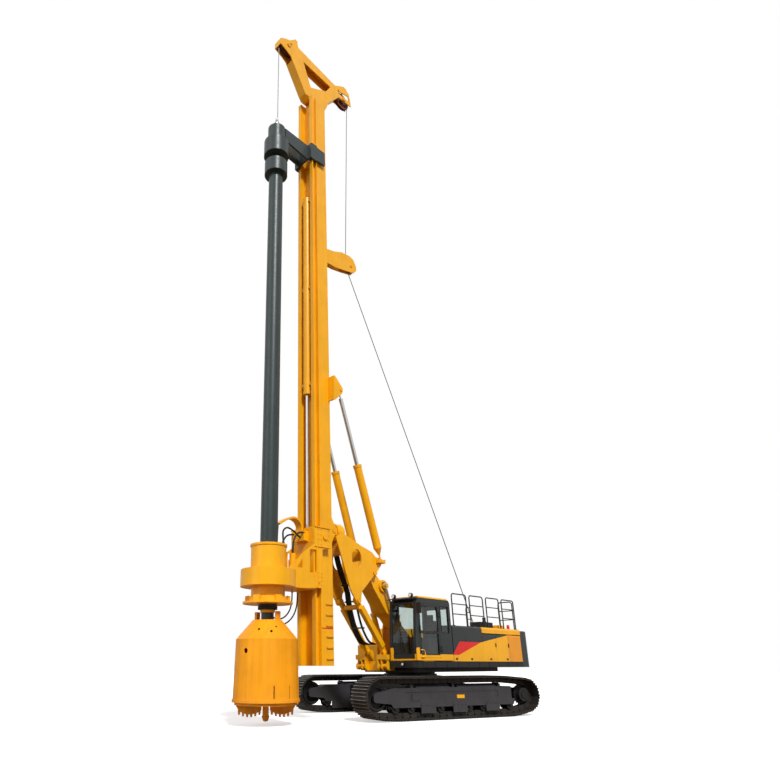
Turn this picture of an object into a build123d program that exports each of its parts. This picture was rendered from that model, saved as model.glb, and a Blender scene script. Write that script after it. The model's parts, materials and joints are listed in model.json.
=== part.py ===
"""Rotary piling rig on tracks: the solids of every sub-part, in millimetres.

Frame: +X is the way the mast and the cab face, +Y is the cab side, +Z is up, and the
origin is on the ground under the middle of the whole rig.  The sizes below are taken
from the slewing centre, and save() moves every solid from there to the origin.  The
tracks stand turned by TRACK_TURN under the upper works, as the rig is parked.
"""
from build123d import *
import math
import os

# ------------------------------------------------------------------ fits
RUN_GAP = 8.0                # between pieces that move past each other
FIT = 0.06                   # radial running clearance of a pin in its eye
PIN_R = 60.0                 # pins of the boom linkage
BOSS = 45.0                  # wall of an eye round its pin

# ------------------------------------------------------------------ undercarriage
# along its own length; the whole of it is turned by TRACK_TURN at the end
TRACK_TURN = -16.0           # degrees about Z
GAUGE_HALF = 1950.0          # slewing centre to the middle of a track
SHOE_WIDTH = 800.0
SHOE_PITCH = 260.0
PLATE = 26.0                 # thickness of a shoe's plate
RIB = 34.0                   # height of the ribs on a shoe
CHAIN_WIDTH = 230.0
CHAIN_DEPTH = 140.0          # chain links, inwards from the shoe plate
TRACK_TOP = 1090.0           # inner face of the upper shoes
IDLER_X, IDLER_Z, IDLER_R = 2665.0, 590.0, 500.0       # R: to the inner face of the shoes
DRIVE_X, DRIVE_Z, DRIVE_R = -2740.0, 590.0, 425.0
ROLLER_FRONT, ROLLER_REAR = 2080.0, -2160.0
ROLLER_COUNT = 9
ROLLER_R = 105.0
CARRIER_R = 60.0
CARRIER_Z = TRACK_TOP - CHAIN_DEPTH - CARRIER_R
CARRIER_X = (-1780.0, 0.0, 1500.0)
BEAM_HALF = 215.0            # half width of a track frame beam
SKIRT = 22.0                 # thickness of the skirts beside the rollers
SKIRT_BOTTOM, BEAM_BOTTOM, BEAM_TOP = 330.0, 430.0, 840.0
CARBODY_HALF = 980.0
CARBODY_BOTTOM = 430.0
LEG_X, LEG_WIDTH = 1000.0, 520.0
RING_R = 860.0
RING_BOTTOM, RING_TOP = 960.0, 1195.0

# ------------------------------------------------------------------ upper works
DECK_BOTTOM, FRAME_BOTTOM, DECK_TOP = 1240.0, 1380.0, 1560.0
DECK_HALF = 1680.0
DECK_REAR, DECK_FRONT = -4300.0, 1500.0
NOSE_FRONT, NOSE_HALF = 1900.0, 640.0
NOSE_LUG = 45.0              # plates beside the support rods' feet
TAIL_REAR = -4960.0          # back of the counterweight
TAIL_CORNER = 330.0
HOUSE_TOP = 2640.0
SHEET = 30.0                 # sheet and frame of the house panels
HOOD_HEIGHT, HOOD_FRONT = 190.0, -1800.0
HOUSE_FRONT = -110.0
AISLE_LEFT, AISLE_RIGHT = 900.0, -700.0
TANK_FRONT, TANK_TOP = 650.0, 2090.0
CAB_REAR, CAB_FRONT = -70.0, 1790.0
CAB_INNER, CAB_OUTER = 680.0, 1680.0
CAB_BOTTOM, CAB_TOP = 1580.0, 3380.0
CAB_WALL = 55.0
SCREEN_RAKE = 130.0          # how far the windscreen's top leans back
SILL = 180.0
DOOR_REAR, DOOR_FRONT = 560.0, 1600.0
DOOR_THICK = 45.0
GLASS = 8.0
DOOR_BOTTOM, DOOR_TOP = CAB_BOTTOM + 75.0, CAB_TOP - 165.0
DOOR_GAP = 8.0
HINGE = (DOOR_REAR - 30.0, CAB_OUTER + 24.0)
HINGE_R, HINGE_PIN_R = 20.0, 9.0
HINGE_Z = (DOOR_BOTTOM + 250.0, DOOR_TOP - 300.0)
HINGE_HALF = 45.0
WINCH_X, WINCH_Z = -3900.0, 2450.0
WINCH_R, WINCH_HALF = 330.0, 360.0
WINCH_SHAFT_R = 70.0
RAIL_TUBE, RAIL_HEIGHT = 21.0, 1000.0

# ------------------------------------------------------------------ boom linkage
# pins in the plane of symmetry, (x, z); the boom and the support rods are parallel
ROD_FOOT = (1600.0, 1780.0)
ROD_HEAD = (2860.0, 3300.0)
BOOM_HEAD = (2060.0, 4200.0)
BOOM_FOOT = (BOOM_HEAD[0] - ROD_HEAD[0] + ROD_FOOT[0],
             BOOM_HEAD[1] - ROD_HEAD[1] + ROD_FOOT[1])
LUFF_FOOT = (780.0, 1760.0)
LUFF_EYE = (1536.0, 3834.0)
LUFF_Y = 408.0
LUFF_EYE_HALF = 55.0
LUFF_RING_R = 190.0          # boss on the boom round the luffing cylinders' shaft
LUFF_R, LUFF_ROD_R, LUFF_LENGTH = 90.0, 50.0, 1350.0
LUFF_STUB_R, LUFF_SLACK = 42.0, 24.0   # room in the rods' eyes, the linkage's open pivots
BOOM_HALF = 270.0
BOOM_FOOT_HALF = BOOM_HALF - 42.0
TOWER_THICK = 50.0
PLATE_IN, PLATE_THICK = 385.0, 50.0    # side plates of the triangle
PLATE_OUT = PLATE_IN + PLATE_THICK
ROD_IN, ROD_EYE, ROD_WIDTH = 290.0, 82.0, 150.0
ROD_DEPTH = 170.0
RAKE_PIN = (3735.0, 5340.0)
TURN_R = 290.0               # round face that the mast's seat turns on
TURN_PIN_R = 95.0
EAR_IN, EAR_THICK = 262.0, 50.0        # the mast's ears beside its seat
SEAT_BACK = 3480.0
MAST_CYL_Y = 505.0
MAST_CYL_FOOT = (1820.0, 4570.0)
MAST_CYL_EYE = (3600.0, 10050.0)
MAST_CYL_R, MAST_ROD_R, MAST_CYL_LENGTH = 130.0, 70.0, 3180.0
MAST_CYL_NECK = 430.0        # foot pin to the thick part of the barrel
CONE_START = 200.0           # foot pin to the cone at the barrel's foot
MAST_ROD_NECK = 290.0        # slim end of the rod, between the mast's lugs
EYE_HALF = 30.0              # half thickness of the mast cylinders' eyes
GIMBAL_HALF = 110.0          # half length of the gimbal frame along X
GIMBAL_CHEEK = 30.0
GIMBAL_PIN_R = 32.0
LUG_ROOM = 26.0              # beside each eye, as the mast tilts sideways

# ------------------------------------------------------------------ mast
MAST_BACK, MAST_FACE, RAIL_FRONT = 3860.0, 4400.0, 4630.0
MAST_HALF = 330.0
RAIL_IN, RAIL_OUT = 245.0, 390.0
RAIL_WEB = 25.0
RAIL_LIP = 40.0
MAST_BOTTOM, MAST_TOP = 1430.0, 22750.0
MAST_WALL = 16.0
SHEAVE_R, SHEAVE_HALF, SHEAVE_PIN = 390.0, 60.0, 55.0
HEAD_PIN = (5690.0, 24770.0)
TAIL_PIN = (2510.0, 24340.0)
HEAD_HALF = 180.0
HEAD_PLATE = 35.0
PULLEY_PIN, PULLEY_R = (2330.0, 15860.0), 225.0
PULLEY_PIN_R = 40.0
CROWD_X = 4560.0
CROWD_R, CROWD_ROD_R = 132.0, 58.0
CROWD_BOTTOM, CROWD_TOP = 9760.0, 17800.0

# ------------------------------------------------------------------ kelly, drive and bucket
SHOE_IN = RAIL_OUT + RUN_GAP
SHOE_THICK = 62.0            # slide shoes of the carriage and the kelly's guide
PAD_FRONT = RAIL_FRONT + 80.0
KELLY_REACH = 1450.0         # kelly's axis in front of the mast's rails
KELLY_X = RAIL_FRONT + KELLY_REACH
KELLY_R, KELLY_WALL = 250.0, 40.0
KELLY_BOTTOM, KELLY_TOP = 2870.0, 18500.0
STUB_R, GUIDE_SHAFT_R = 172.0, 170.0
CARRIAGE_BOTTOM, CARRIAGE_TOP = 3470.0, 5310.0
CARRIAGE_HEAD = 4700.0       # from here up it wraps the whole of the mast
GUSSET = 50.0
MOUNT_X = KELLY_X - 830.0    # joint between the carriage and the gear case
CASE_BOTTOM, CASE_STEP, CASE_TOP = 3470.0, 3930.0, 4640.0
CASE_R, CASE_UPPER_R = 770.0, 500.0
SLEEVE_R, SLEEVE_IN = 470.0, 60.0
FLANGE_BOTTOM, FLANGE_THICK = 3015.0, 55.0
FLANGE_HOLES, FLANGE_HOLE_R, FLANGE_PITCH_R = 12, 17.0, 632.0
FLANGE_R = FLANGE_PITCH_R + 58.0    # rim outside the bolt circle
GUIDE_BOTTOM, GUIDE_TOP = 19400.0, 20135.0
HOUSING_BOTTOM, HOUSING_R = 18800.0, 450.0
CONE_TOP = 2590.0
BUCKET_TOP, BUCKET_LOW = 2080.0, 560.0
BUCKET_R_TOP, BUCKET_R_LOW = 830.0, 865.0
BUCKET_WALL = 30.0
BUCKET_RIM = 22.0
BUCKET_EAR = 225.0           # height of the ears above the cone
GATE_THICK = 60.0
GATE_HINGE = (KELLY_X - BUCKET_R_LOW - 65.0, BUCKET_LOW - 40.0)
GATE_PIN_R = 25.0

# two hoses hang from the carriage to the gear case: (start), (end), lowest height
HOSE_R, GLAND_R, GLAND_LENGTH = 20.0, 28.0, 60.0
DRIVE_HOSES = (
    ((4890.0, -100.0), (KELLY_X - 360.0, -640.0), 2500.0),
    ((4990.0, -220.0), (KELLY_X - 425.0, -600.0), 2660.0),
)

# slewing centre to the middle of the rig's length, which the tail and the bucket's rim bound
ORIGIN_X = (TAIL_REAR + KELLY_X + BUCKET_R_LOW + BUCKET_RIM) / 2


# ------------------------------------------------------------------ small helpers
def block(x, y, z):
    """A box from its (low, high) pairs."""
    size = (x[1] - x[0], y[1] - y[0], z[1] - z[0])
    middle = ((x[0] + x[1]) / 2, (y[0] + y[1]) / 2, (z[0] + z[1]) / 2)
    return Pos(*middle) * Box(*size)


def bar_x(y, z, x, r):
    return Pos((x[0] + x[1]) / 2, y, z) * Rot(0, 90, 0) * Cylinder(r, x[1] - x[0])


def bar_y(pin, y, r):
    return Pos(pin[0], (y[0] + y[1]) / 2, pin[1]) * Rot(90, 0, 0) * Cylinder(r, y[1] - y[0])


def bar_z(x, y, z, r):
    return Pos(x, y, (z[0] + z[1]) / 2) * Cylinder(r, z[1] - z[0])


def strut(a, b, r):
    """A round bar from point a to point b."""
    along = Vector(*b) - Vector(*a)
    plane = Plane(origin=a, z_dir=along)
    return extrude(plane * Circle(r), amount=along.length)


def taper(a, b, r_a, r_b):
    """A cone from radius r_a at point a to r_b at point b."""
    along = Vector(*b) - Vector(*a)
    plane = Plane(origin=a, z_dir=along)
    return plane * Pos(0, 0, along.length / 2) * Cone(r_a, r_b, along.length)


def side_plate(points, y):
    """A plate with this outline in X and Z, from y[0] to y[1]."""
    face = Plane.XZ.offset(-y[0]) * Polygon(*points, align=None)
    return extrude(face, amount=y[1] - y[0], dir=(0, 1, 0))


def flat_plate(points, z):
    """A plate with this outline in X and Y, from z[0] to z[1]."""
    face = Plane.XY.offset(z[0]) * Polygon(*points, align=None)
    return extrude(face, amount=z[1] - z[0], dir=(0, 0, 1))


def cross_plate(points, x):
    """A plate with this outline in Y and Z, from x[0] to x[1]."""
    face = Plane.YZ.offset(x[0]) * Polygon(*points, align=None)
    return extrude(face, amount=x[1] - x[0], dir=(1, 0, 0))


def other_side(part):
    return mirror(part, about=Plane.XZ)


def both_sides(part):
    return part + other_side(part)


def save(name, part):
    """Write a sub-part, moved from the slewing centre to the frame's origin."""
    export_step(Pos(-ORIGIN_X, 0, 0) * part, f"parts/{name}.step")


def beside(pin, x=0.0, z=0.0):
    """A point this far from a pin."""
    return (pin[0] + x, pin[1] + z)


def along_link(a, b, points):
    """Points given as (distance from a towards b, distance above the line), in X and Z."""
    length = math.dist(a, b)
    ux, uz = (b[0] - a[0]) / length, (b[1] - a[1]) / length
    return [(a[0] + s * ux - t * uz, a[1] + s * uz + t * ux) for s, t in points]


# ------------------------------------------------------------------ tracks
class Path:
    """The closed line of the shoes' inner face, round wheels given as (x, z, r)."""

    def __init__(self, wheels):
        count = len(wheels)
        angles = []
        for i, (x, z, r) in enumerate(wheels):
            x2, z2, r2 = wheels[(i + 1) % count]
            reach = math.hypot(x2 - x, z2 - z)
            angles.append(math.atan2(z2 - z, x2 - x) + math.asin((r - r2) / reach))
        self.pieces = []                     # (length, kind, data)
        for i, (x, z, r) in enumerate(wheels):
            before, after = angles[i - 1], angles[i]
            turn = (after - before) % (2 * math.pi)
            self.pieces.append((r * turn, "arc", (x, z, r, before)))
            x2, z2, r2 = wheels[(i + 1) % count]
            nx, nz = math.sin(after), -math.cos(after)
            start = (x + r * nx, z + r * nz)
            end = (x2 + r2 * nx, z2 + r2 * nz)
            self.pieces.append((math.dist(start, end), "line", (start, after)))
        self.length = sum(piece[0] for piece in self.pieces)

    def point(self, along, out):
        """The point this far along the line and this far outside it."""
        along %= self.length
        for length, kind, data in self.pieces:
            if along <= length:
                break
            along -= length
        if kind == "arc":
            x, z, r, start = data
            angle = start + along / r
            return (x + (r + out) * math.sin(angle), z - (r + out) * math.cos(angle))
        (x, z), angle = data
        return (x + along * math.cos(angle) + out * math.sin(angle),
                z + along * math.sin(angle) - out * math.cos(angle))


SHOE_HEIGHT = PLATE + RIB
ROLLER_Z = SHOE_HEIGHT + CHAIN_DEPTH + ROLLER_R
TOP_BEND = 260.0             # the upper run bends over the rear carrier roller
TRACK_PATH = Path([
    (ROLLER_FRONT, ROLLER_Z, ROLLER_Z - SHOE_HEIGHT),
    (IDLER_X, IDLER_Z, IDLER_R),
    (CARRIER_X[0], TRACK_TOP - TOP_BEND, TOP_BEND),
    (DRIVE_X, DRIVE_Z, DRIVE_R),
    (ROLLER_REAR, ROLLER_Z, ROLLER_Z - SHOE_HEIGHT),
])
SHOE_COUNT = round(TRACK_PATH.length / SHOE_PITCH)

# one shoe, seen from its end: (share of the pitch, height above the inner face)
SHOE_PROFILE = (
    (0.000, PLATE * 0.4),
    (0.030, PLATE), (0.130, SHOE_HEIGHT), (0.230, PLATE),
    (0.400, PLATE), (0.500, SHOE_HEIGHT), (0.600, PLATE),
    (0.770, PLATE), (0.870, SHOE_HEIGHT), (0.970, PLATE),
)


def track():
    """One closed loop: ribbed shoes with the chain fused inside them."""
    pitch = TRACK_PATH.length / SHOE_COUNT
    outside, inside, links = [], [], []
    for i in range(SHOE_COUNT):
        for share, height in SHOE_PROFILE:
            outside.append(TRACK_PATH.point((i + share) * pitch, height))
        inside.append(TRACK_PATH.point(i * pitch, 0.0))
        links.append(TRACK_PATH.point(i * pitch, 30.0 - CHAIN_DEPTH))
        links.append(TRACK_PATH.point((i + 0.5) * pitch, -CHAIN_DEPTH))
    shoe_half, chain_half = SHOE_WIDTH / 2, CHAIN_WIDTH / 2
    shoes = side_plate(outside, (-shoe_half, shoe_half))
    shoes -= side_plate(inside, (-shoe_half - 1, shoe_half + 1))
    chain = side_plate(inside, (-chain_half, chain_half))
    chain -= side_plate(links, (-chain_half - 1, chain_half + 1))
    return shoes + chain


ROLLER_END = BEAM_HALF - SKIRT
POCKET_HALF = CHAIN_WIDTH / 2 + 12.0


def track_frame():
    """The beam between a track's runs, with the idler's yoke and the drive's bracket."""
    outline = [
        (ROLLER_REAR - 40, BEAM_BOTTOM), (ROLLER_FRONT + 200, BEAM_BOTTOM),
        (IDLER_X + 120, IDLER_Z - 110), (IDLER_X + 165, IDLER_Z - 60),
        (IDLER_X + 165, IDLER_Z + 80), (IDLER_X + 110, IDLER_Z + 140),
        (ROLLER_FRONT + 280, BEAM_TOP - 50), (ROLLER_FRONT + 100, BEAM_TOP),
        (ROLLER_REAR - 40, BEAM_TOP),
    ]
    beam = side_plate(outline, (-BEAM_HALF, BEAM_HALF))
    skirt = [
        (ROLLER_REAR - 150, BEAM_BOTTOM), (ROLLER_REAR - 90, SKIRT_BOTTOM),
        (ROLLER_FRONT + 110, SKIRT_BOTTOM), (ROLLER_FRONT + 180, BEAM_BOTTOM),
        (ROLLER_FRONT + 180, BEAM_BOTTOM + 60), (ROLLER_REAR - 150, BEAM_BOTTOM + 60),
    ]
    beam += both_sides(side_plate(skirt, (ROLLER_END, BEAM_HALF)))
    idler_room = IDLER_R - CHAIN_DEPTH + 25
    beam -= block((IDLER_X - idler_room, IDLER_X + idler_room), (-POCKET_HALF, POCKET_HALF),
                  (0, TRACK_TOP))
    for x in CARRIER_X:
        beam += both_sides(block((x - 45, x + 45), (POCKET_HALF, POCKET_HALF + 30),
                                 (BEAM_TOP - 10, CARRIER_Z + 35)))
        beam -= block((x - CARRIER_R - 20, x + CARRIER_R + 20), (-POCKET_HALF, POCKET_HALF),
                      (CARRIER_Z - CARRIER_R - 15, TRACK_TOP))
    # long recess along the outer side, above the rollers
    beam -= block((ROLLER_REAR + 500, ROLLER_FRONT - 300), (BEAM_HALF - 15, BEAM_HALF + 1),
                  (BEAM_BOTTOM + 110, BEAM_TOP - 110))
    bracket = [
        (ROLLER_REAR - 30, BEAM_BOTTOM), (DRIVE_X + 60, DRIVE_Z - 190),
        (DRIVE_X - 140, DRIVE_Z - 70), (DRIVE_X - 140, DRIVE_Z + 70),
        (DRIVE_X + 60, DRIVE_Z + 190), (ROLLER_REAR - 30, BEAM_TOP),
    ]
    beam += side_plate(bracket, (-BEAM_HALF, -POCKET_HALF))
    return beam


def rollers():
    """Bottom rollers between the skirts, and carrier rollers on their stands."""
    step = (ROLLER_FRONT - ROLLER_REAR) / (ROLLER_COUNT - 1)
    flange_in = CHAIN_WIDTH / 2 + 4
    made = []
    for i in range(ROLLER_COUNT):
        pin = (ROLLER_REAR + i * step, ROLLER_Z)
        roller = bar_y(pin, (-flange_in, flange_in), ROLLER_R - 1)
        for low in (-flange_in - 30, flange_in):
            roller += bar_y(pin, (low, low + 30), ROLLER_R + 20)
        made.append(roller + bar_y(pin, (-ROLLER_END, ROLLER_END), 48))
    for x in CARRIER_X:
        pin = (x, CARRIER_Z)
        roller = bar_y(pin, (-110, 110), CARRIER_R - 1)
        made.append(roller + bar_y(pin, (-POCKET_HALF, POCKET_HALF), 26))
    return made


def idler():
    """Spoked guide wheel: a rim, a web and a hub."""
    pin, rim = (IDLER_X, IDLER_Z), IDLER_R - CHAIN_DEPTH - 1
    wheel = bar_y(pin, (-95, 95), rim - 40) + bar_y(pin, (-60, 60), rim)
    for low in (-96, 30):
        wheel -= bar_y(pin, (low, low + 66), rim - 90) - bar_y(pin, (low, low + 66), 110)
    return wheel + bar_y(pin, (-POCKET_HALF, POCKET_HALF), 70)


def sprocket():
    """Toothed wheel with the final drive's round case standing out of it."""
    pin, teeth = (DRIVE_X, DRIVE_Z), 21
    tip = DRIVE_R - CHAIN_DEPTH - 2
    root = tip - 40
    points = []
    for i in range(teeth):
        for share, r in ((0.0, root), (0.3, root), (0.45, tip), (0.75, tip)):
            angle = 2 * math.pi * (i + share) / teeth
            points.append((DRIVE_X + r * math.cos(angle), DRIVE_Z + r * math.sin(angle)))
    wheel = side_plate(points, (-35, 35))
    wheel += bar_y(pin, (-POCKET_HALF, 60), root - 25)
    wheel += bar_y(pin, (60, BEAM_HALF - 25), root - 45)
    return wheel + bar_y(pin, (BEAM_HALF - 25, BEAM_HALF), 110)


def carbody():
    """Centre box with four legs that run to the track frames."""
    inner, half = GAUGE_HALF - BEAM_HALF, CARBODY_HALF
    cut = half - 180
    points = [(-half, -cut), (-cut, -half), (cut, -half), (half, -cut),
              (half, cut), (cut, half), (-cut, half), (-half, cut)]
    body = flat_plate(points, (CARBODY_BOTTOM + 60, RING_BOTTOM))
    leg = [(0, CARBODY_BOTTOM + 60), (inner - 300, CARBODY_BOTTOM), (inner, CARBODY_BOTTOM),
           (inner, BEAM_TOP - 40), (half - 80, RING_BOTTOM), (0, RING_BOTTOM)]
    for x in (-LEG_X - LEG_WIDTH / 2, LEG_X - LEG_WIDTH / 2):
        body += both_sides(cross_plate(leg, (x, x + LEG_WIDTH)))
    return body


def undercarriage():
    middle = Rot(0, 0, TRACK_TURN)
    left = middle * Pos(0, GAUGE_HALF, 0)
    right = middle * Pos(0, -GAUGE_HALF, 0)
    ring = bar_z(0, 0, (RING_BOTTOM, RING_TOP), RING_R)
    ring -= bar_z(0, 0, (RING_BOTTOM - 1, RING_TOP + 1), RING_R - 150)
    save("slew_ring", middle * ring)
    save("carbody", middle * carbody())
    loop, beam = track(), track_frame()
    save("track_left", left * loop)
    save("track_right", right * other_side(loop))
    save("track_frame_left", left * beam)
    save("track_frame_right", right * other_side(beam))
    for name, solids in (("idlers", [idler()]), ("sprockets", [sprocket()]), ("rollers", rollers())):
        pairs = [left * solid for solid in solids]
        pairs += [right * other_side(solid) for solid in solids]
        save(name, Compound(pairs))


# ------------------------------------------------------------------ upper works
BAY = 45.0                   # ribs left between the deck's open bays


def deck():
    """Turntable frame with open bays below and the collar that stands on the slew ring."""
    corner = 160.0
    outline = [
        (DECK_REAR, -DECK_HALF), (DECK_FRONT - corner, -DECK_HALF),
        (DECK_FRONT, -DECK_HALF + corner), (DECK_FRONT, CAB_INNER - 20),
        (CAB_FRONT, CAB_INNER - 20), (CAB_FRONT, DECK_HALF - corner),
        (CAB_FRONT - 60, DECK_HALF), (DECK_REAR, DECK_HALF),
    ]
    frame = flat_plate(outline, (FRAME_BOTTOM, DECK_TOP))
    # open bays on both sides of the centre box, (rear end, front end)
    for rear, front in ((-4200, -2700), (-2600, -1100), (-1000, 500)):
        bay = block((rear, front), (1150 + BAY, DECK_HALF - BAY), (FRAME_BOTTOM - 1, DECK_TOP - 40))
        frame -= both_sides(bay)
    centre = block((-2560, 1300), (-1150, 1150), (DECK_BOTTOM, FRAME_BOTTOM + 1))
    frame += centre - block((-2500, -1000), (-1000, 1000), (DECK_BOTTOM - 1, FRAME_BOTTOM))
    frame += bar_z(0, 0, (RING_TOP + RUN_GAP, DECK_BOTTOM + 1), RING_R - 60)
    return frame


def nose():
    """Box in front of the deck with lugs for the support rods' feet and a cross shaft."""
    low = DECK_BOTTOM + 50
    middle = block((DECK_FRONT, NOSE_FRONT - 190), (-ROD_IN, ROD_IN), (low, DECK_TOP))
    cheek = [
        (DECK_FRONT, low), (NOSE_FRONT - 70, low), (NOSE_FRONT - 10, low + 70),
        (NOSE_FRONT - 10, DECK_TOP + 60), (NOSE_FRONT - 120, DECK_TOP + 60), beside(ROD_FOOT, 120, 60),
        beside(ROD_FOOT, 60, 110), beside(ROD_FOOT, -60, 110), beside(ROD_FOOT, -100, 60), (DECK_FRONT, DECK_TOP),
    ]
    near, far = ROD_IN - RUN_GAP, ROD_IN + ROD_EYE + RUN_GAP
    side = side_plate(cheek, (near - NOSE_LUG, near)) + side_plate(cheek, (far, far + NOSE_LUG))
    side -= bar_y(ROD_FOOT, (ROD_IN - 100, ROD_IN + ROD_EYE + 100), PIN_R + FIT)
    # floor, top bar and cross shaft in front of the foot
    side += block((DECK_FRONT, NOSE_FRONT - 190), (near - 1, NOSE_HALF - 30), (low, low + 90))
    side += block((NOSE_FRONT - 130, NOSE_FRONT), (near - NOSE_LUG, NOSE_HALF), (DECK_TOP + 50, DECK_TOP + 190))
    shaft = (NOSE_FRONT - 90, low + 130)
    side += bar_y(shaft, (near - 1, NOSE_HALF - 20), 62) + bar_y(shaft, (NOSE_HALF - 60, NOSE_HALF - 20), 105)
    side += block((NOSE_FRONT - 110, NOSE_FRONT - 60), (NOSE_HALF - 60, NOSE_HALF - 25), (low + 130, DECK_TOP + 60))
    return both_sides(side) + middle


def boom_tower():
    """Two plates that carry the boom's foot pin, and the luffing cylinders' foot lugs."""
    inner = BOOM_FOOT_HALF + RUN_GAP
    outline = [
        (1080, DECK_TOP), (1010, 2300), beside(BOOM_FOOT, 140, -20), beside(BOOM_FOOT, 100, 95),
        beside(BOOM_FOOT, 0, 135), beside(BOOM_FOOT, -100, 95), beside(BOOM_FOOT, -140, -20),
        (-50, 2050), (-420, DECK_TOP),
    ]
    plate = side_plate(outline, (inner, inner + TOWER_THICK))
    plate -= bar_y(BOOM_FOOT, (inner - 1, inner + TOWER_THICK + 1), PIN_R + FIT)
    foot = [
        beside(LUFF_FOOT, -200, DECK_TOP - LUFF_FOOT[1]), beside(LUFF_FOOT, 200, DECK_TOP - LUFF_FOOT[1]),
        beside(LUFF_FOOT, 95, 55), beside(LUFF_FOOT, 40, 100), beside(LUFF_FOOT, -40, 100),
        beside(LUFF_FOOT, -95, 55),
    ]
    near = LUFF_Y - LUFF_EYE_HALF - RUN_GAP
    far = LUFF_Y + LUFF_EYE_HALF + RUN_GAP
    plate += side_plate(foot, (inner + TOWER_THICK - 1, near))
    plate += side_plate(foot, (far, far + 40))
    plate -= bar_y(LUFF_FOOT, (inner - 1, far + 41), PIN_R + FIT)
    ties = block((-350, 900), (-inner, inner), (DECK_TOP, DECK_TOP + 120))
    ties += block((LUFF_FOOT[0] - 260, LUFF_FOOT[0] + 260), (-560, 560), (DECK_TOP, DECK_TOP + 25))
    return both_sides(plate) + ties


def counterweight():
    """Cast block behind the deck, with its rear corners rounded and a sloping underside."""
    middle = (TAIL_REAR + DECK_REAR) / 2
    weight = block((TAIL_REAR, DECK_REAR), (-DECK_HALF, DECK_HALF), (FRAME_BOTTOM, HOUSE_TOP - 40))
    rear = weight.edges().filter_by(Axis.Z).group_by(Axis.X)[0]
    weight = fillet(rear, TAIL_CORNER)
    top = [e for e in weight.edges().group_by(Axis.Z)[-1] if e.center().X < middle]
    return fillet(top, 50)


def house(x, y, z, outer_sign):
    """A house of sheet, open below, with its outer top edge rounded."""
    body = block(x, y, z)
    outer_y = y[1] if outer_sign > 0 else y[0]
    edge = [e for e in body.edges().filter_by(Axis.X)
            if abs(e.center().Y - outer_y) < 1 and abs(e.center().Z - z[1]) < 1]
    body = fillet(edge, 70)
    inner = block((x[0] + SHEET, x[1] - SHEET), (y[0] + SHEET, y[1] - SHEET), (z[0] - 1, z[1] - SHEET))
    return body - inner


def grooves(part, places, face_y, z):
    """Seams between door panels: thin slots in the outer face at each x."""
    for x in places:
        part -= block((x - 6, x + 6), (face_y - 7, face_y + 7), z)
    return part


def houses():
    base = DECK_TOP
    rear = DECK_REAR
    hood_bottom = HOUSE_TOP - HOOD_HEIGHT
    front_part = house((HOOD_FRONT, HOUSE_FRONT), (AISLE_LEFT, DECK_HALF), (base, HOUSE_TOP), 1)
    rear_part = house((rear, HOOD_FRONT), (AISLE_LEFT, DECK_HALF), (base, hood_bottom), 1)
    wall = block((HOOD_FRONT - SHEET - 1, HOOD_FRONT + SHEET + 1),
                 (AISLE_LEFT + SHEET, DECK_HALF - SHEET), (base - 1, hood_bottom - SHEET))
    left = front_part + rear_part - wall
    seams = (HOUSE_FRONT - 700, HOOD_FRONT, -2650, -3480)
    save("house_left", grooves(left, seams, DECK_HALF, (base + 90, hood_bottom - 60)))
    hood = house((rear, HOOD_FRONT), (AISLE_LEFT, DECK_HALF + 12), (hood_bottom, HOUSE_TOP), 1)
    save("hood_left", hood)
    right = house((rear, HOUSE_FRONT), (-DECK_HALF, AISLE_RIGHT), (base, HOUSE_TOP), -1)
    save("house_right", grooves(right, (-1100, -2200, -3300), -DECK_HALF, (base + 90, HOUSE_TOP - 90)))
    tank = block((HOUSE_FRONT, TANK_FRONT), (-DECK_HALF, AISLE_RIGHT - 100), (base, TANK_TOP))
    tank = fillet(tank.edges().group_by(Axis.Z)[-1], 40)
    for x in (HOUSE_FRONT + 30, TANK_FRONT - 260):
        tank -= block((x, x + 230), (-DECK_HALF - 1, 12 - DECK_HALF), (base + 120, TANK_TOP - 110))
    save("tank_right", tank)
    save("engine", block((-3400, -1900), (180 - DECK_HALF, AISLE_RIGHT - 150), (base, 2350)))
    outer = DECK_HALF - 180
    box = block((-2850, -2050), (outer - 400, outer), (HOUSE_TOP, HOUSE_TOP + 190))
    for i in range(5):
        z = HOUSE_TOP + 35 + i * 30
        box -= block((-2800, -2100), (outer - 10, outer + 1), (z, z + 14))
    save("air_box", box)


# ------------------------------------------------------------------ cab
def cab_outline(inset):
    """Side view of the cab, this far inside its skin."""
    low, high = CAB_BOTTOM + inset, CAB_TOP - inset
    rear, front = CAB_REAR + inset, CAB_FRONT - inset
    knee = CAB_BOTTOM + 500
    return [
        (rear, low), (front - 25, low), (front, knee), (front - SCREEN_RAKE * 0.8, high - 130),
        (front - SCREEN_RAKE - 110, high), (rear + 60, high), (rear, high - 90),
    ]


def window_cuts():
    """The cab's window openings, as (x, y, z) ranges."""
    y0, y1, w = CAB_INNER, CAB_OUTER, CAB_WALL
    return {
        "screen": ((CAB_FRONT - 420, CAB_FRONT + 10), (y0 + 95, y1 - 95), (CAB_BOTTOM + SILL, CAB_TOP - 190)),
        "rear": ((CAB_REAR - 10, CAB_REAR + w + 10), (y0 + 110, y1 - 110), (CAB_BOTTOM + 900, CAB_TOP - 260)),
        "right": ((CAB_REAR + 140, CAB_FRONT - 480), (y0 - 10, y0 + w + 1), (CAB_BOTTOM + 700, CAB_TOP - 210)),
        "quarter": ((CAB_REAR + 130, DOOR_REAR - 110), (y1 - w - 1, y1 + 10), (CAB_BOTTOM + 820, CAB_TOP - 210)),
    }


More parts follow.
